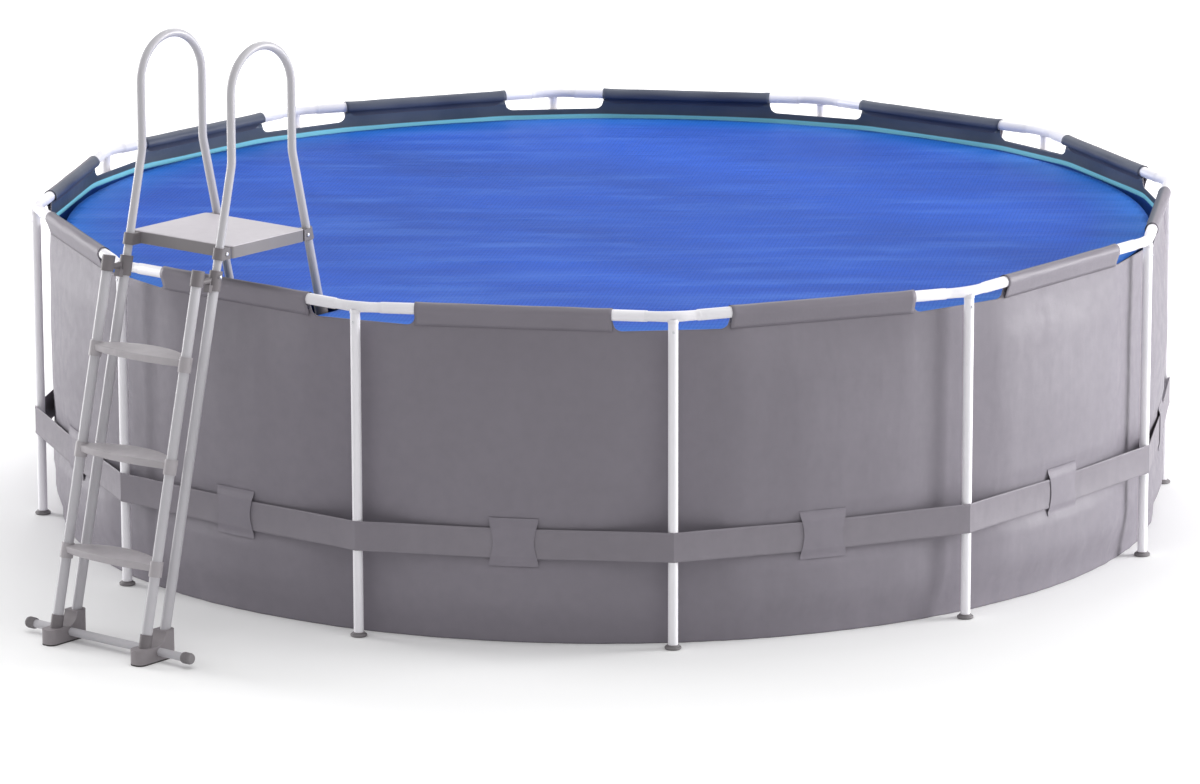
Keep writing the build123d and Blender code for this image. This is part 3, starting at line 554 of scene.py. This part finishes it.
class PoolSettings(bpy.types.PropertyGroup):
    """Sizes and colours of the pool and its ladder."""

    wall_colour: colour_setting("Wall", "Outside of the vinyl wall", 130, 125, 134)
    band_colour: colour_setting("Band", "Support band and its loops", 132, 127, 135)
    steel_colour: colour_setting("Steel", "Powder coat of rails and uprights", 246, 244, 249)
    ladder_colour: colour_setting("Ladder steel", "Powder coat of the ladder's tubes", 195, 193, 198)
    plastic_colour: colour_setting("Plastic", "Ladder joints and shoes", 122, 117, 120)
    tread_colour: colour_setting("Treads", "Ladder treads", 176, 171, 175)
    platform_colour: colour_setting("Platform", "Top of the ladder platform", 202, 197, 203)
    skirt_colour: colour_setting("Platform skirt", "Sides of the ladder platform", 134, 130, 133)
    dark_colour: colour_setting("Dark plastic", "Foot cups and bar caps", 104, 101, 103)
    bulge: size_setting("Bulge", "How far water pushes the wall out between uprights", 0.030, 0.0, 0.04)
    wall_wrinkle: size_setting("Wall wrinkles", "Depth of the wall's soft folds", 0.0022, 0.0, 0.01)


class CoverSettings(bpy.types.PropertyGroup):
    """Sizes and colours of the solar cover."""

    film_colour: colour_setting("Film", "Top of the solar cover", 26, 84, 194)
    crease: size_setting("Creases", "Height of the folds left from packing", 0.0045, 0.0, 0.01)
    swell: size_setting("Swell", "Height of the cover's broad waves", 0.0025, 0.0, 0.02)


# --- Stage ---


def view_matrix():
    """Where the camera stands and how it is turned."""
    lift = radians(VIEW_LIFT)
    aim = Vector(VIEW_AIM)
    eye = aim + VIEW_DISTANCE * Vector((0, -cos(lift), sin(lift)))
    facing = (aim - eye).to_track_quat("-Z", "Y").to_matrix().to_4x4()
    facing = Matrix.Translation(eye) @ facing @ Matrix.Rotation(radians(VIEW_ROLL), 4, "Z")
    return Matrix.Rotation(radians(VIEW_TURN), 4, "Z") @ facing


def around(azimuth, distance, height=0.0):
    """A place round the pool; azimuth is measured to the right of the camera's side, seen from above."""
    angle = radians(VIEW_TURN - 90 + azimuth)
    return Vector((distance * cos(angle), distance * sin(angle), height))


def softbox(name, place, aim, size, power):
    """A large square light."""
    data = bpy.data.lights.new(name, "AREA")
    data.energy = power
    data.shape = "SQUARE"
    data.size = size
    lamp = bpy.data.objects.new(name, data)
    lamp.location = place
    lamp.rotation_euler = (aim - place).to_track_quat("-Z", "Y").to_euler()
    bpy.context.scene.collection.objects.link(lamp)


class POOL_OT_stage(bpy.types.Operator):
    """Add the pale floor, the studio lights and the camera"""

    bl_idname = "pool.stage"
    bl_label = "Stage"

    def execute(self, context):
        scene = context.scene
        world = bpy.data.worlds.new("Studio")
        world.use_nodes = True
        studio = Nodes(world.node_tree)
        skies = [studio.add("ShaderNodeBackground", {"Color": colour, "Strength": strength}).outputs[0]
                 for colour, strength in (((1, 1, 1, 1), 0.52), ((0.985, 0.985, 0.99, 1), 1.0))]
        direct = studio.add("ShaderNodeLightPath").outputs["Is Camera Ray"]
        shown = studio.add("ShaderNodeMixShader", {0: direct, 1: skies[0], 2: skies[1]}).outputs[0]
        studio.tree.links.new(shown, studio.tree.nodes["World Output"].inputs["Surface"])
        scene.world = world
        scene.view_settings.view_transform = "Standard"

        corners = [(60 * x, 60 * y, -0.0005) for x, y in ((-1, -1), (1, -1), (1, 1), (-1, 1))]
        pale = Finish("studio_floor", 0.9, 0.05)
        tone = pale.mix(pale.remap(pale.noise(0.4)), (0.93, 0.93, 0.935, 1), (0.95, 0.95, 0.95, 1))
        reach = pale.length(*pale.axes()[:2])
        direct = pale.add("ShaderNodeLightPath").outputs["Is Camera Ray"]
        pale.shader.inputs["Emission Color"].default_value = (1.0, 1.0, 1.0, 1.0)
        pale.set("Emission Strength", pale.math("MULTIPLY", direct, pale.remap(reach, 1.95, 4.6, 0.0, 0.5)))
        floor = mesh_from("studio_floor", corners, [(0, 1, 2, 3)])
        new_object("studio_floor", floor, pale.done(tone))

        middle = Vector((0, 0, 0.5))
        softbox("left_box", around(-110, 9.0, 2.2), middle, 4.0, 500)
        softbox("right_box", around(90, 9.0, 2.4), middle, 4.0, 800)
        softbox("top_box", around(0, 3.0, 9.5), middle, 8.0, 260)
        softbox("back_floor_box", around(180, 8.5, 7.0), around(180, 8.5), 9.0, 520)

        data = bpy.data.cameras.new("Camera")
        data.lens = VIEW_LENS
        data.sensor_width = 36.0
        data.clip_end = 200.0
        camera = bpy.data.objects.new("Camera", data)
        camera.matrix_world = view_matrix()
        scene.collection.objects.link(camera)
        scene.camera = camera
        return {"FINISHED"}


# --- Liner ---


def bay_places():
    """Places across one bay, as distances from its left upright, finer at the cut-outs' corners."""
    half = HALF_CHORD
    side = [0.0, 0.035, 0.07, 0.105, SLEEVE_GAP - CUTOUT_CORNER]
    side += [SLEEVE_GAP - CUTOUT_CORNER * cos(radians(a)) for a in (30, 50, 65, 77, 90)]
    inner = 14
    side += [SLEEVE_GAP + (half - SLEEVE_GAP) * k / inner for k in range(1, inner)]
    return side + [half] + [2 * half - s for s in reversed(side[1:])]


def wall_top(from_upright):
    """Height of the wall's edge at a distance from the nearest upright."""
    start = SLEEVE_GAP - CUTOUT_CORNER
    if from_upright <= start:
        return CUTOUT_BOTTOM
    if from_upright >= SLEEVE_GAP:
        return WALL_TOP
    rise = CUTOUT_CORNER - sqrt(max(0.0, CUTOUT_CORNER**2 - (from_upright - start) ** 2))
    return CUTOUT_BOTTOM + rise


def flat_radius(phi):
    """Radius of the flat-sided wall at an angle from the middle of its bay, rounded at the corners."""
    side = APOTHEM / cos(phi)
    corner = CORNER_RADIUS / cos(HALF_BAY - abs(phi))
    blend = 0.014
    share = min(1.0, max(0.0, 0.5 + (corner - side) / (2 * blend)))
    return corner + (side - corner) * share - blend * share * (1 - share)


def wall_radius(phi, z, angle, settings):
    """Radius of the wall's middle, with the water's push, the band's hold and soft folds."""
    band_low, band_high = BAND_LOW.z, BAND_HIGH.z
    push = settings.bulge
    knots = (
        (0.0, 0.0), (0.110, 0.95 * push), (band_low - 0.055, 0.85 * push),
        (band_low, 0.36 * push), (band_high, 0.36 * push), (band_high + 0.06, 0.75 * push), (0.600, push),
        (0.800, 0.8 * push), (CUTOUT_BOTTOM - 0.02, 0.0), (WALL_TOP, -0.05 * push),
    )
    middle = cos(pi * phi / STEP) ** 2
    free = smooth_step((CUTOUT_BOTTOM - z) / 0.25)
    fold = drift(angle * 9.0, z * 1.4, 4.7)
    fold += 0.5 * drift(angle * 31.0, z * 2.1, 9.1)
    pucker = exp(-(((z - band_high) / 0.05) ** 2)) + exp(-(((z - band_low) / 0.05) ** 2))
    pucker *= drift(angle * 60.0, z * 6.0, 2.2) * 0.6
    hem = exp(-((z / 0.10) ** 2)) * drift(angle * 42.0, z * 5.0, 7.7) * 1.2
    creases = settings.wall_wrinkle * (fold * free + pucker + hem)
    side = flat_radius(phi) + through(knots, z) * (0.08 + 0.92 * middle) - 0.004 * (1 - middle) * free
    base = APOTHEM - 0.004
    return side + (base - side) * smooth_step(1 - z / 0.15) + creases


def wall_rows():
    rows = [0.0, 0.004, 0.010, 0.018, 0.030, 0.045, 0.065, 0.09]
    z = 0.115
    while z < CUTOUT_BOTTOM - 0.03:
        rows.append(z)
        near_band = BAND_LOW.z - 0.08 < z < BAND_HIGH.z + 0.08
        z += 0.011 if near_band else 0.026
    return rows + [CUTOUT_BOTTOM - 0.018]


def liner_wall_mesh(settings):
    """The wall as one closed skin, with rounded cut-outs at the uprights."""
    columns = []
    for bay in range(BAYS):
        for place in bay_places()[:-1]:
            phi = atan2(place - HALF_CHORD, APOTHEM)
            columns.append((bay * STEP + phi, phi, min(place, 2 * HALF_CHORD - place)))

    def ring(base, share, side):
        points = []
        for angle, phi, near in columns:
            z = base + (wall_top(near) - base) * share
            radius = wall_radius(phi, z, angle, settings) + side * WALL_THICK / 2
            points.append((radius * cos(angle), radius * sin(angle), max(z, WALL_LIFT)))
        return points

    rows = wall_rows()
    levels = [(z, 0.0) for z in rows] + [(rows[-1], share) for share in (0.25, 0.5, 0.75, 1.0)]
    outside = [ring(*level, 1) for level in levels]
    waterside = [ring(*level, -1) for level in reversed(levels)]
    finish_of = [0] * len(levels) + [1] * (len(levels) - 1) + [0]
    return loft("liner_wall", outside + waterside, closed=True, finish_of=finish_of)


def cut_round_holes(piece, places):
    """Cuts round holes through the wall on +Y."""
    for x, z, radius in places:
        profile = [(0.0, 0.0001), (0.0, radius), (0.2, radius), (0.2, 0.0001)]
        cutter = new_object("cutter", lathe("cutter", (x, 1.70, z), (0, 1, 0), profile))
        cut = piece.modifiers.new("Hole", "BOOLEAN")
        cut.operation = "DIFFERENCE"
        cut.object = cutter
        cut.solver = "EXACT"
        keep_result(piece)
        bpy.data.objects.remove(cutter)


def floor_mesh(settings):
    """The liner's floor, with a few soft wrinkles and a rim that meets the wall."""
    rings, rays = 46, 144

    def ring_of(share, on_top):
        points = []
        for ray in range(rays):
            angle = tau * ray / rays
            phi = (angle + HALF_BAY) % STEP - HALF_BAY
            reach = (wall_radius(phi, 0.0, angle, settings) - WALL_THICK / 2 - FLOOR_LIFT) * share
            x, y = reach * cos(angle), reach * sin(angle)
            wave = abs(drift(x * 2.3, y * 2.3, 1.0)) * 0.004 * smooth_step((1 - share) * 12)
            points.append((x, y, FLOOR_TOP + wave if on_top else FLOOR_LIFT))
        return points

    shares = [ring / rings for ring in range(rings + 1)]
    under = [ring_of(share, False) for share in shares]
    over = [ring_of(share, True) for share in reversed(shares)]
    return loft("liner_floor", under + over, capped=False)


def sleeve_profile(offset):
    """Section of a sleeve round its rail as (outward, up) points; a flap runs down the wall's face."""
    radius = RAIL_RADIUS + 0.0026 + offset
    points = []
    for degrees in range(-10, 222, 8):
        t = radians(degrees)
        slack = 0.0025 * smooth_step((degrees - 120) / 80)
        points.append(((radius + slack) * cos(t), (radius + slack) * sin(t)))
    foot = WALL_TOP - RAIL_HEIGHT
    points += [(-0.0044 - offset, foot + 0.002), (-0.0030 - offset, foot - 0.012)]
    points += [(-0.0016, foot - 0.014), (0.0014, foot - 0.014 - offset), (0.0019, foot - 0.030)]
    flap = ((0.0036, -0.0315), (0.0066, -0.020), (0.0108, -0.008), (0.0148, 0.003), (0.0176, 0.010))
    points += [(out + offset, foot + up) for out, up in flap]
    return points


def sleeve_mesh():
    """One bay's sleeve: a tube of vinyl, open at both ends, with the wall's top edge inside its foot."""
    half = HALF_CHORD - SLEEVE_GAP
    stations = 46
    skins = []
    for offset in (0.0, -0.0014):
        rings = []
        for i in range(stations + 1):
            y = -half + 2 * half * i / stations
            ends = exp(-(((half - abs(y)) / 0.02) ** 2))
            ring = []
            for k, (out, up) in enumerate(sleeve_profile(offset)):
                loose = drift(y * 9.0, k * 0.22, 3.3) * 0.0011
                grow = 1 + (loose / RAIL_RADIUS + 0.05 * ends) * (up > -0.012)
                ring.append((APOTHEM + out * grow, y, RAIL_HEIGHT + up * grow))
            rings.append(ring)
        skins.append(rings)
    mesh = loft("rail_sleeve", skins[0] + skins[1][::-1], closed=True)
    inside = mesh.attributes.new("waterside", "FLOAT", "POINT")
    inside.data.foreach_set("value", [smooth_step((APOTHEM + 0.004 - v.co.x) / 0.010) for v in mesh.vertices])
    return mesh


def sleeve_finish(settings):
    """Wall vinyl on the outside of a sleeve and dark grey on the water side."""
    made = Finish("sleeve_vinyl", 0.5, 0.35)
    water = made.add("ShaderNodeAttribute", attribute_name="waterside").outputs["Fac"]
    cloud = made.noise(3.0, 3.0)
    wall = settings.wall_colour
    outside = made.mix(made.remap(cloud), shade(wall, 0.94), shade(wall, 1.05))
    dark = made.mix(made.remap(cloud), paint(66, 72, 90), paint(92, 98, 112))
    normal = made.bumps((made.noise(18.0, 3.0), 0.0015), (made.noise(160.0, 2.0), 0.0002))
    return made.done(made.mix(water, outside, dark), normal, made.remap(cloud, 0.3, 0.7, 0.44, 0.56))


class POOL_OT_liner(bpy.types.Operator):
    """Make the vinyl wall, its floor and the sleeves round the top rails"""

    bl_idname = "pool.liner"
    bl_label = "Liner"

    def execute(self, context):
        settings = context.scene.pool_settings
        outside = vinyl("wall_vinyl", settings.wall_colour)
        water = waterside_vinyl("waterside_vinyl")

        wall = new_object("liner_wall_skin", liner_wall_mesh(settings), outside, water)
        holes = [(x, z, PORT_HOLE) for x, z in PORT_PLACES] + [(0.0, DRAIN_HEIGHT, DRAIN_HOLE)]
        cut_round_holes(wall, holes)
        settle(wall, "pool", "liner_vinyl", "liner_wall", "liner_port_panel")

        floor = new_object("liner_floor_skin", floor_mesh(settings), water)
        settle(floor, "pool", "liner_vinyl", "liner_floor")

        sleeves = round_the_pool("sleeve_skins", sleeve_mesh(), sleeve_finish(settings), "sleeve_vinyl",
                                 "rail_sleeves")
        return {"FINISHED"}


# --- Frame ---


def rail_mesh():
    """One top rail: a tube with slightly turned-in ends."""
    half = HALF_CHORD - TEE_SHOWN
    wall = 0.0015
    r = RAIL_RADIUS
    lip = [(0.0006, r - wall), (0.0, r - 0.0006), (0.0012, r)]
    profile = lip + [(2 * half - d, radius) for d, radius in lip[::-1]]
    profile += [(2 * half - 0.03, r - wall), (0.03, r - wall)]
    return sharpen(lathe("rail", (APOTHEM, -half, RAIL_HEIGHT), (0, 1, 0), profile, 40), 50)


def tee_mesh():
    """One tee: an elbow along its two arms, with a collar over the upright and moulded lips at the seams."""
    turn = pi / 2 + HALF_BAY
    centre = Vector((UPRIGHT_RADIUS, 0, RAIL_HEIGHT))
    arm = Vector((cos(turn), sin(turn), 0))
    bend = 0.045
    stations = [(TEE_REACH, -0.0015), (TEE_REACH - 0.002, 0.0), (TEE_SHOWN + 0.001, 0.0), (TEE_SHOWN, 0.0016),
                (TEE_SHOWN - 0.006, 0.0016), (TEE_SHOWN - 0.0085, 0.0), (0.062, 0.0), (bend, 0.0)]
    spine = [(centre + arm * d, TEE_RADIUS + lip, arm) for d, lip in stations]
    mirrored = Vector((arm.x, -arm.y, 0))
    start, end = centre + arm * bend, centre + mirrored * bend
    for k in range(1, 8):
        t = k / 8
        place = start * (1 - t) ** 2 + centre * 2 * t * (1 - t) + end * t**2
        way = ((centre - start) * (1 - t) + (end - centre) * t).normalized()
        spine.append((place, TEE_RADIUS + 0.0008 * sin(pi * t), -way))
    spine += [(centre + mirrored * d, TEE_RADIUS + lip, -mirrored) for d, lip in reversed(stations)]
    up = Vector((0, 0, 1))
    rings = [circle(place, way.cross(up).normalized(), up, r, 36) for place, r, way in spine]
    elbow = loft("tee", rings)
    collar_top = RAIL_HEIGHT - TEE_RADIUS * 0.4
    foot = UPRIGHT_TOP
    collar = lathe("collar", (UPRIGHT_RADIUS, 0, foot - 0.055), (0, 0, 1), [
        (0.0, 0.0110), (0.0, 0.0129), (0.055, 0.0129), (0.055, 0.0158), (0.0565, 0.0164), (0.0605, 0.0164),
        (0.064, 0.0150), (collar_top - foot + 0.055, 0.0145), (collar_top - foot + 0.055, 0.0110)], 36)
    return sharpen(join("tee", [elbow, collar]), 40)


def foot_mesh():
    """One foot: a round pad with a rolled edge and a low collar that holds the upright."""
    inner, collar, pad = 0.0154, 0.0184, 0.0250
    edge = [(0.005 + 0.003 * sin(radians(a)), pad - 0.003 + 0.003 * cos(radians(a)))
            for a in (0, 22, 45, 68, 90)]
    shape = [(0.0, pad - 0.0025), (0.0012, pad - 0.0006), (0.0026, pad)] + edge
    shape += [(0.0083, collar + 0.0012), (0.0095, collar), (0.0122, collar - 0.0004)]
    shape += [(0.0132, collar - 0.0014), (0.0134, inner + 0.0008), (0.0124, inner), (0.0062, inner)]
    shape += [(0.0062, 0.0004), (0.0, 0.0004)]
    return sharpen(lathe("foot", (UPRIGHT_RADIUS, 0, 0.0), (0, 0, 1), shape, 48), 35)


class POOL_OT_frame(bpy.types.Operator):
    """Make the top rails, tees, uprights and their feet"""

    bl_idname = "pool.frame"
    bl_label = "Frame"

    def execute(self, context):
        settings = context.scene.pool_settings
        steel = powder_coat("frame_steel", settings.steel_colour)
        elbow = moulded("tee_plastic", shade(settings.steel_colour, 0.97), roughness=0.42)
        dark = moulded("foot_plastic", shade(settings.dark_colour, 1.5), roughness=0.6)
        round_the_pool("rail_tubes", rail_mesh(), steel, "white_steel", "top_rails")
        round_the_pool("tee_elbows", tee_mesh(), elbow, "tee_plastic", "tee_joints", Start=HALF_BAY)
        round_the_pool("foot_cups", foot_mesh(), dark, "foot_plastic", "upright_feet", Start=HALF_BAY)
        for node in UPRIGHTS:
            coat(node, steel)
        coat("snap_pins", zinc("pin_zinc"))
        return {"FINISHED"}


def coat(node, finish):
    """Gives a carried-over node its finish."""
    mesh = NODES[node].data
    mesh.materials.clear()
    mesh.materials.append(finish)


# --- Band ---


def mid_bay(y):
    """From 1 at the middle of a bay to 0 at its uprights."""
    return cos(pi * y / (2 * HALF_CHORD)) ** 2


def band_face(y):
    """How far the band's inner face stands from the pool's middle, across one bay."""
    return BAND_HIGH.x - BAND_THICK + 0.0035 * mid_bay(y)


def band_mesh():
    """One bay's length of the band: webbing with welded edges that sags a little between uprights."""
    inner = BAND_HIGH.x - BAND_THICK
    height = BAND_HIGH.z - BAND_LOW.z
    weld = [(0.0, 0.0), (0.0012, -0.0003), (0.0020, 0.0012), (0.0023, 0.006), (0.0016, 0.009)]
    section = weld + [(0.0016, 0.5 * height)] + [(out, height - up) for out, up in weld[::-1]]
    stations = 40
    rings = []
    for i in range(stations + 1):
        y = HALF_CHORD * (2 * i / stations - 1) * inner / APOTHEM
        sag = -0.004 * mid_bay(y)
        ring = []
        for out, up in section:
            sway = drift(y * 5.0, up * 9.0, 6.0) * 0.0012
            x = band_face(y) + out + sway * mid_bay(y)
            ring.append((x, y * (inner + out) / inner, BAND_LOW.z + up + sag))
        rings.append(ring)
    return sharpen(loft("band", rings), 60)


def wall_face(y, z, settings):
    """Distance of the wall's outer face from the pool's middle on the +X bay, without its folds."""
    phi = atan2(y, APOTHEM)
    return wall_radius(phi, z, 0.0, settings) * cos(phi) + WALL_THICK / 2 + 0.0004


def loop_mesh(settings):
    """One loop: a pinched patch over the band, welded to the wall above and below it."""
    low, high = LOOPS_LOW.z, LOOPS_HIGH.z
    face = band_face(0) + 0.0026
    across, upward = 26, 30
    rings = []
    for j in range(upward + 1):
        v = j / upward
        z = low + (high - low) * v
        narrow = 0.013 * sin(pi * v) ** 1.5
        lift = smooth_step(min(v, 1 - v) * (high - low) / 0.030)
        skin = []
        for i in range(across + 1):
            u = 2 * i / across - 1
            y = u * (LOOP_HALF - narrow)
            seat = wall_face(y, z, settings)
            over = face + 0.0009 * cos(pi * u / 2)
            x = seat + (max(over, seat) - seat) * lift
            skin.append((x + drift(y * 14.0, z * 14.0, 5.0) * 0.0005 * lift, y, z))
        rings.append([(x + LOOP_THICK, y, z) for x, y, z in skin] + skin[::-1])
    return sharpen(loft("loop", rings), 60)


class POOL_OT_band(bpy.types.Operator):
    """Make the support band and its loops"""

    bl_idname = "pool.band"
    bl_label = "Band"

    def execute(self, context):
        settings = context.scene.pool_settings
        webbing = vinyl("band_vinyl", settings.band_colour, 0.55)
        patch = vinyl("loop_vinyl", shade(settings.wall_colour, 1.04), 0.52)
        band = round_the_pool("band_webbing", band_mesh(), webbing, "band_vinyl", "support_band")
        loops = round_the_pool("loop_patches", loop_mesh(settings), patch, "band_vinyl", "band_loops",
                               Wobble=0.0012, Seed=5)
        return {"FINISHED"}


# --- Fittings ---


class POOL_OT_fittings(bpy.types.Operator):
    """Finish the pump ports, their nuts and stoppers, and the drain"""

    bl_idname = "pool.fittings"
    bl_label = "Fittings"

    def execute(self, context):
        white = moulded("port_plastic", paint(214, 214, 216), roughness=0.45)
        for node in ("pump_ports", "port_nuts", "drain_valve", "drain_cap"):
            coat(node, white)
        coat("port_plugs", rubber("plug_rubber", paint(40, 40, 42)))
        return {"FINISHED"}


# --- Solar cover ---


def cover_outline(radius, spacing):
    """The cover's edge: most of a circle, with the ladder's notch and its rounded corners."""
    notch_turn = asin(NOTCH_HALF / radius)
    start, end = -pi / 2 + notch_turn, 1.5 * pi - notch_turn
    count = int((end - start) * radius / spacing)
    turns = [start + (end - start) * k / count for k in range(count + 1)]
    edge = [(radius * cos(t), radius * sin(t)) for t in turns]
    corner, left = NOTCH_CORNER, edge[-1][1]
    deep = NOTCH_EDGE - corner - left
    steps = int(deep / spacing) + 1
    side = [(-NOTCH_HALF, left + deep * k / steps) for k in range(1, steps + 1)]
    for k in range(1, 9):
        t = pi - pi / 2 * k / 8
        side.append((-NOTCH_HALF + corner + corner * cos(t), NOTCH_EDGE - corner + corner * sin(t)))
    flat = 2 * NOTCH_HALF - 2 * corner
    across = int(flat / spacing)
    top = [(-NOTCH_HALF + corner + flat * k / across, NOTCH_EDGE) for k in range(1, across)]
    return edge + side + top + [(-x, y) for x, y in reversed(side)]


def turned_to(x, y, turn):
    """A place on the cover as distances along and across a direction."""
    return x * cos(turn) + y * sin(turn), -x * sin(turn) + y * cos(turn)


def cover_height(x, y, settings):
    """Folds left from packing and the broad waves of a floating sheet."""
    height = drift(x * 0.9, y * 0.9, 2.0) * settings.swell
    for turn, pitch, share in ((FOLD_TURN, 0.34, 1.0), (FOLD_TURN + pi / 2, 0.62, 0.5)):
        along, across = turned_to(x, y, turn)
        wander = 0.03 * drift(along * 0.8, turn, 5.0)
        lane = (across + wander) / pitch
        gap = abs(lane - round(lane)) * pitch
        strong = 0.5 + 0.5 * drift(along * 1.1, round(lane) * 7.0, 1.0)
        height += settings.crease * share * strong * exp(-((gap / 0.012) ** 2))
    along, across = turned_to(x, y, FOLD_TURN)
    height += 0.5 * settings.crease * drift(along * 1.6, across * 8.0, 3.0)
    return height * (0.3 + 0.7 * smooth_step((COVER_HIGH.x - hypot(x, y)) / 0.12))


def film_mesh(name, low, high, settings):
    """A closed sheet between two heights, with the cover's folds in it."""
    outline = [Vector(p) for p in cover_outline(COVER_HIGH.x, FILM_SPACING)]
    points = list(outline)
    row = FILM_SPACING * sqrt(3) / 2
    lines = int(COVER_HIGH.x / row)
    keep = FILM_SPACING * 0.6
    for j in range(-lines, lines + 1):
        y = j * row
        places = int(sqrt(max(0.0, (COVER_HIGH.x - keep) ** 2 - y * y)) / FILM_SPACING)
        for i in range(-places, places + 1):
            x = (i + 0.5 * (j % 2)) * FILM_SPACING
            in_notch = abs(x) < NOTCH_HALF + keep and y < NOTCH_EDGE + keep
            if hypot(x, y) < COVER_HIGH.x - keep and not in_notch:
                points.append(Vector((x, y)))
    edges = [(k, (k + 1) % len(outline)) for k in range(len(outline))]
    flat, _, triangles, *_ = delaunay_2d_cdt(points, edges, [], 1, 1e-5)
    lowered = 0.2 * (settings.crease + settings.swell)
    heights = [cover_height(p.x, p.y, settings) - lowered for p in flat]
    solid = [(p.x, p.y, level + h) for level in (high, low) for p, h in zip(flat, heights)]
    count = len(flat)
    faces = [tuple(t) for t in triangles] + [tuple(count + k for k in reversed(t)) for t in triangles]
    sides = {(a, b) for t in triangles for a, b in zip(t, t[1:] + t[:1])}
    faces += [(b, a, count + a, count + b) for a, b in sorted(sides) if (b, a) not in sides]
    return turn_outwards(mesh_from(name, solid, faces))


class POOL_OT_cover(bpy.types.Operator):
    """Make the solar cover's two bonded films"""

    bl_idname = "pool.cover"
    bl_label = "Solar cover"

    def execute(self, context):
        settings = context.scene.cover_settings
        films = (
            ("solar_film", COVER_LOW.z, COVER_HIGH.z, blue_film("solar_blue", settings.film_colour),
             "cover_blue", "cover_top_film"),
            ("bubble_film", BUBBLES_LOW.z, BUBBLES_HIGH.z - FILM_GAP, black_film("bubble_black"),
             "cover_black", "cover_bubble_film"),
        )
        for name, low, high, finish, slot, node in films:
            piece = new_object(name, film_mesh(name, low, high, settings), finish)
            settle(piece, "cover", slot, node)
        return {"FINISHED"}


# --- Ladder ---


def pairs(*parts):
    """The nodes of parts that come as a left and a right one."""
    return [f"{part}_{side}" for part in parts for side in ("left", "right")]


def cap_ribs(finish):
    """Makes the ribs round the base bar's end caps, in a row along each cap."""
    middle = (CAPS_LOW.y + CAPS_HIGH.y) / 2
    height = (CAPS_LOW.z + CAPS_HIGH.z) / 2
    radius = (CAPS_HIGH.z - CAPS_LOW.z) / 2
    profile = [(0.0, radius - 0.001), (0.0004, radius + 0.0009), (0.0012, radius + 0.0015),
               (0.0020, radius + 0.0009), (0.0024, radius - 0.001)]
    for side, name in ((-1, "cap_ribs_left"), (1, "cap_ribs_right")):
        start = side * (CAPS_HIGH.x - 0.030)
        ring = lathe(name, (start, middle, height), (side, 0, 0), profile, 40)
        piece = new_object(name, ring, finish)
        repeated(piece, row_tree(f"{name} row", finish), Count=5, Pitch=(side * 0.0050, 0, 0))
        settle(piece, "ladder", "foot_plastic")


class POOL_OT_ladder(bpy.types.Operator):
    """Finish the ladder's tubes, plastic and platform, and add the ribs on its caps"""

    bl_idname = "pool.ladder"
    bl_label = "Ladder"

    def execute(self, context):
        settings = context.scene.pool_settings
        steel = powder_coat("ladder_coat", settings.ladder_colour, 0.2)
        grey = moulded("ladder_plastic", settings.plastic_colour)
        tread = moulded("tread_plastic", settings.tread_colour, 700.0, 0.00018)
        deck = two_tone("platform_plastic", settings.platform_colour, settings.skirt_colour)
        dark = moulded("cap_plastic", shade(settings.dark_colour, 1.7), roughness=0.58)
        shoe = moulded("shoe_plastic", shade(settings.plastic_colour, 1.45))
        sole = rubber("sole_rubber", paint(62, 60, 60))
        bright = zinc("bolt_zinc")
        finishes = {
            steel: pairs("handrail", "outer_leg", "inner_leg", "step_rail") + ["base_bar"],
            grey: pairs("outer_socket", "hook_bracket") + ["inner_sockets", "inner_feet", "step_caps",
                                                           "platform_brackets"],
            tread: ["outer_tread_1", "outer_tread_2", "outer_tread_3", "inner_treads"],
            deck: ["platform"],
            shoe: pairs("base_shoe"),
            dark: ["bar_caps"],
            sole: ["shoe_soles"],
            bright: pairs("snap_button") + ["platform_bolts"],
        }
        for finish, nodes in finishes.items():
            for node in nodes:
                coat(node, finish)
        cap_ribs(dark)
        return {"FINISHED"}


# --- Panel and registration ---


class POOL_PT_sidebar(bpy.types.Panel):
    """Lists the pool's makers and their settings"""

    bl_idname = "POOL_PT_sidebar"
    bl_label = "Pool"
    bl_space_type = "VIEW_3D"
    bl_region_type = "UI"
    bl_category = "Pool"

    def draw(self, context):
        column = self.layout.column()
        for maker in MAKERS:
            column.operator(maker.bl_idname)
        for group in (context.scene.pool_settings, context.scene.cover_settings):
            for label in group.bl_rna.properties.keys():
                if label not in ("rna_type", "name"):
                    column.prop(group, label)


MAKERS = (POOL_OT_stage, POOL_OT_liner, POOL_OT_frame, POOL_OT_band, POOL_OT_fittings, POOL_OT_cover,
          POOL_OT_ladder)
CLASSES = (PoolSettings, CoverSettings) + MAKERS + (POOL_PT_sidebar,)


def register():
    for kind in CLASSES:
        bpy.utils.register_class(kind)
    bpy.types.Scene.pool_settings = bpy.props.PointerProperty(type=PoolSettings)
    bpy.types.Scene.cover_settings = bpy.props.PointerProperty(type=CoverSettings)


def unregister():
    del bpy.types.Scene.pool_settings
    del bpy.types.Scene.cover_settings
    for kind in reversed(CLASSES):
        bpy.utils.unregister_class(kind)


def main():
    register()
    for maker in MAKERS:
        group, name = maker.bl_idname.split(".")
        getattr(getattr(bpy.ops, group), name)()
    bpy.context.view_layer.update()


if __name__ == "__main__":
    main()
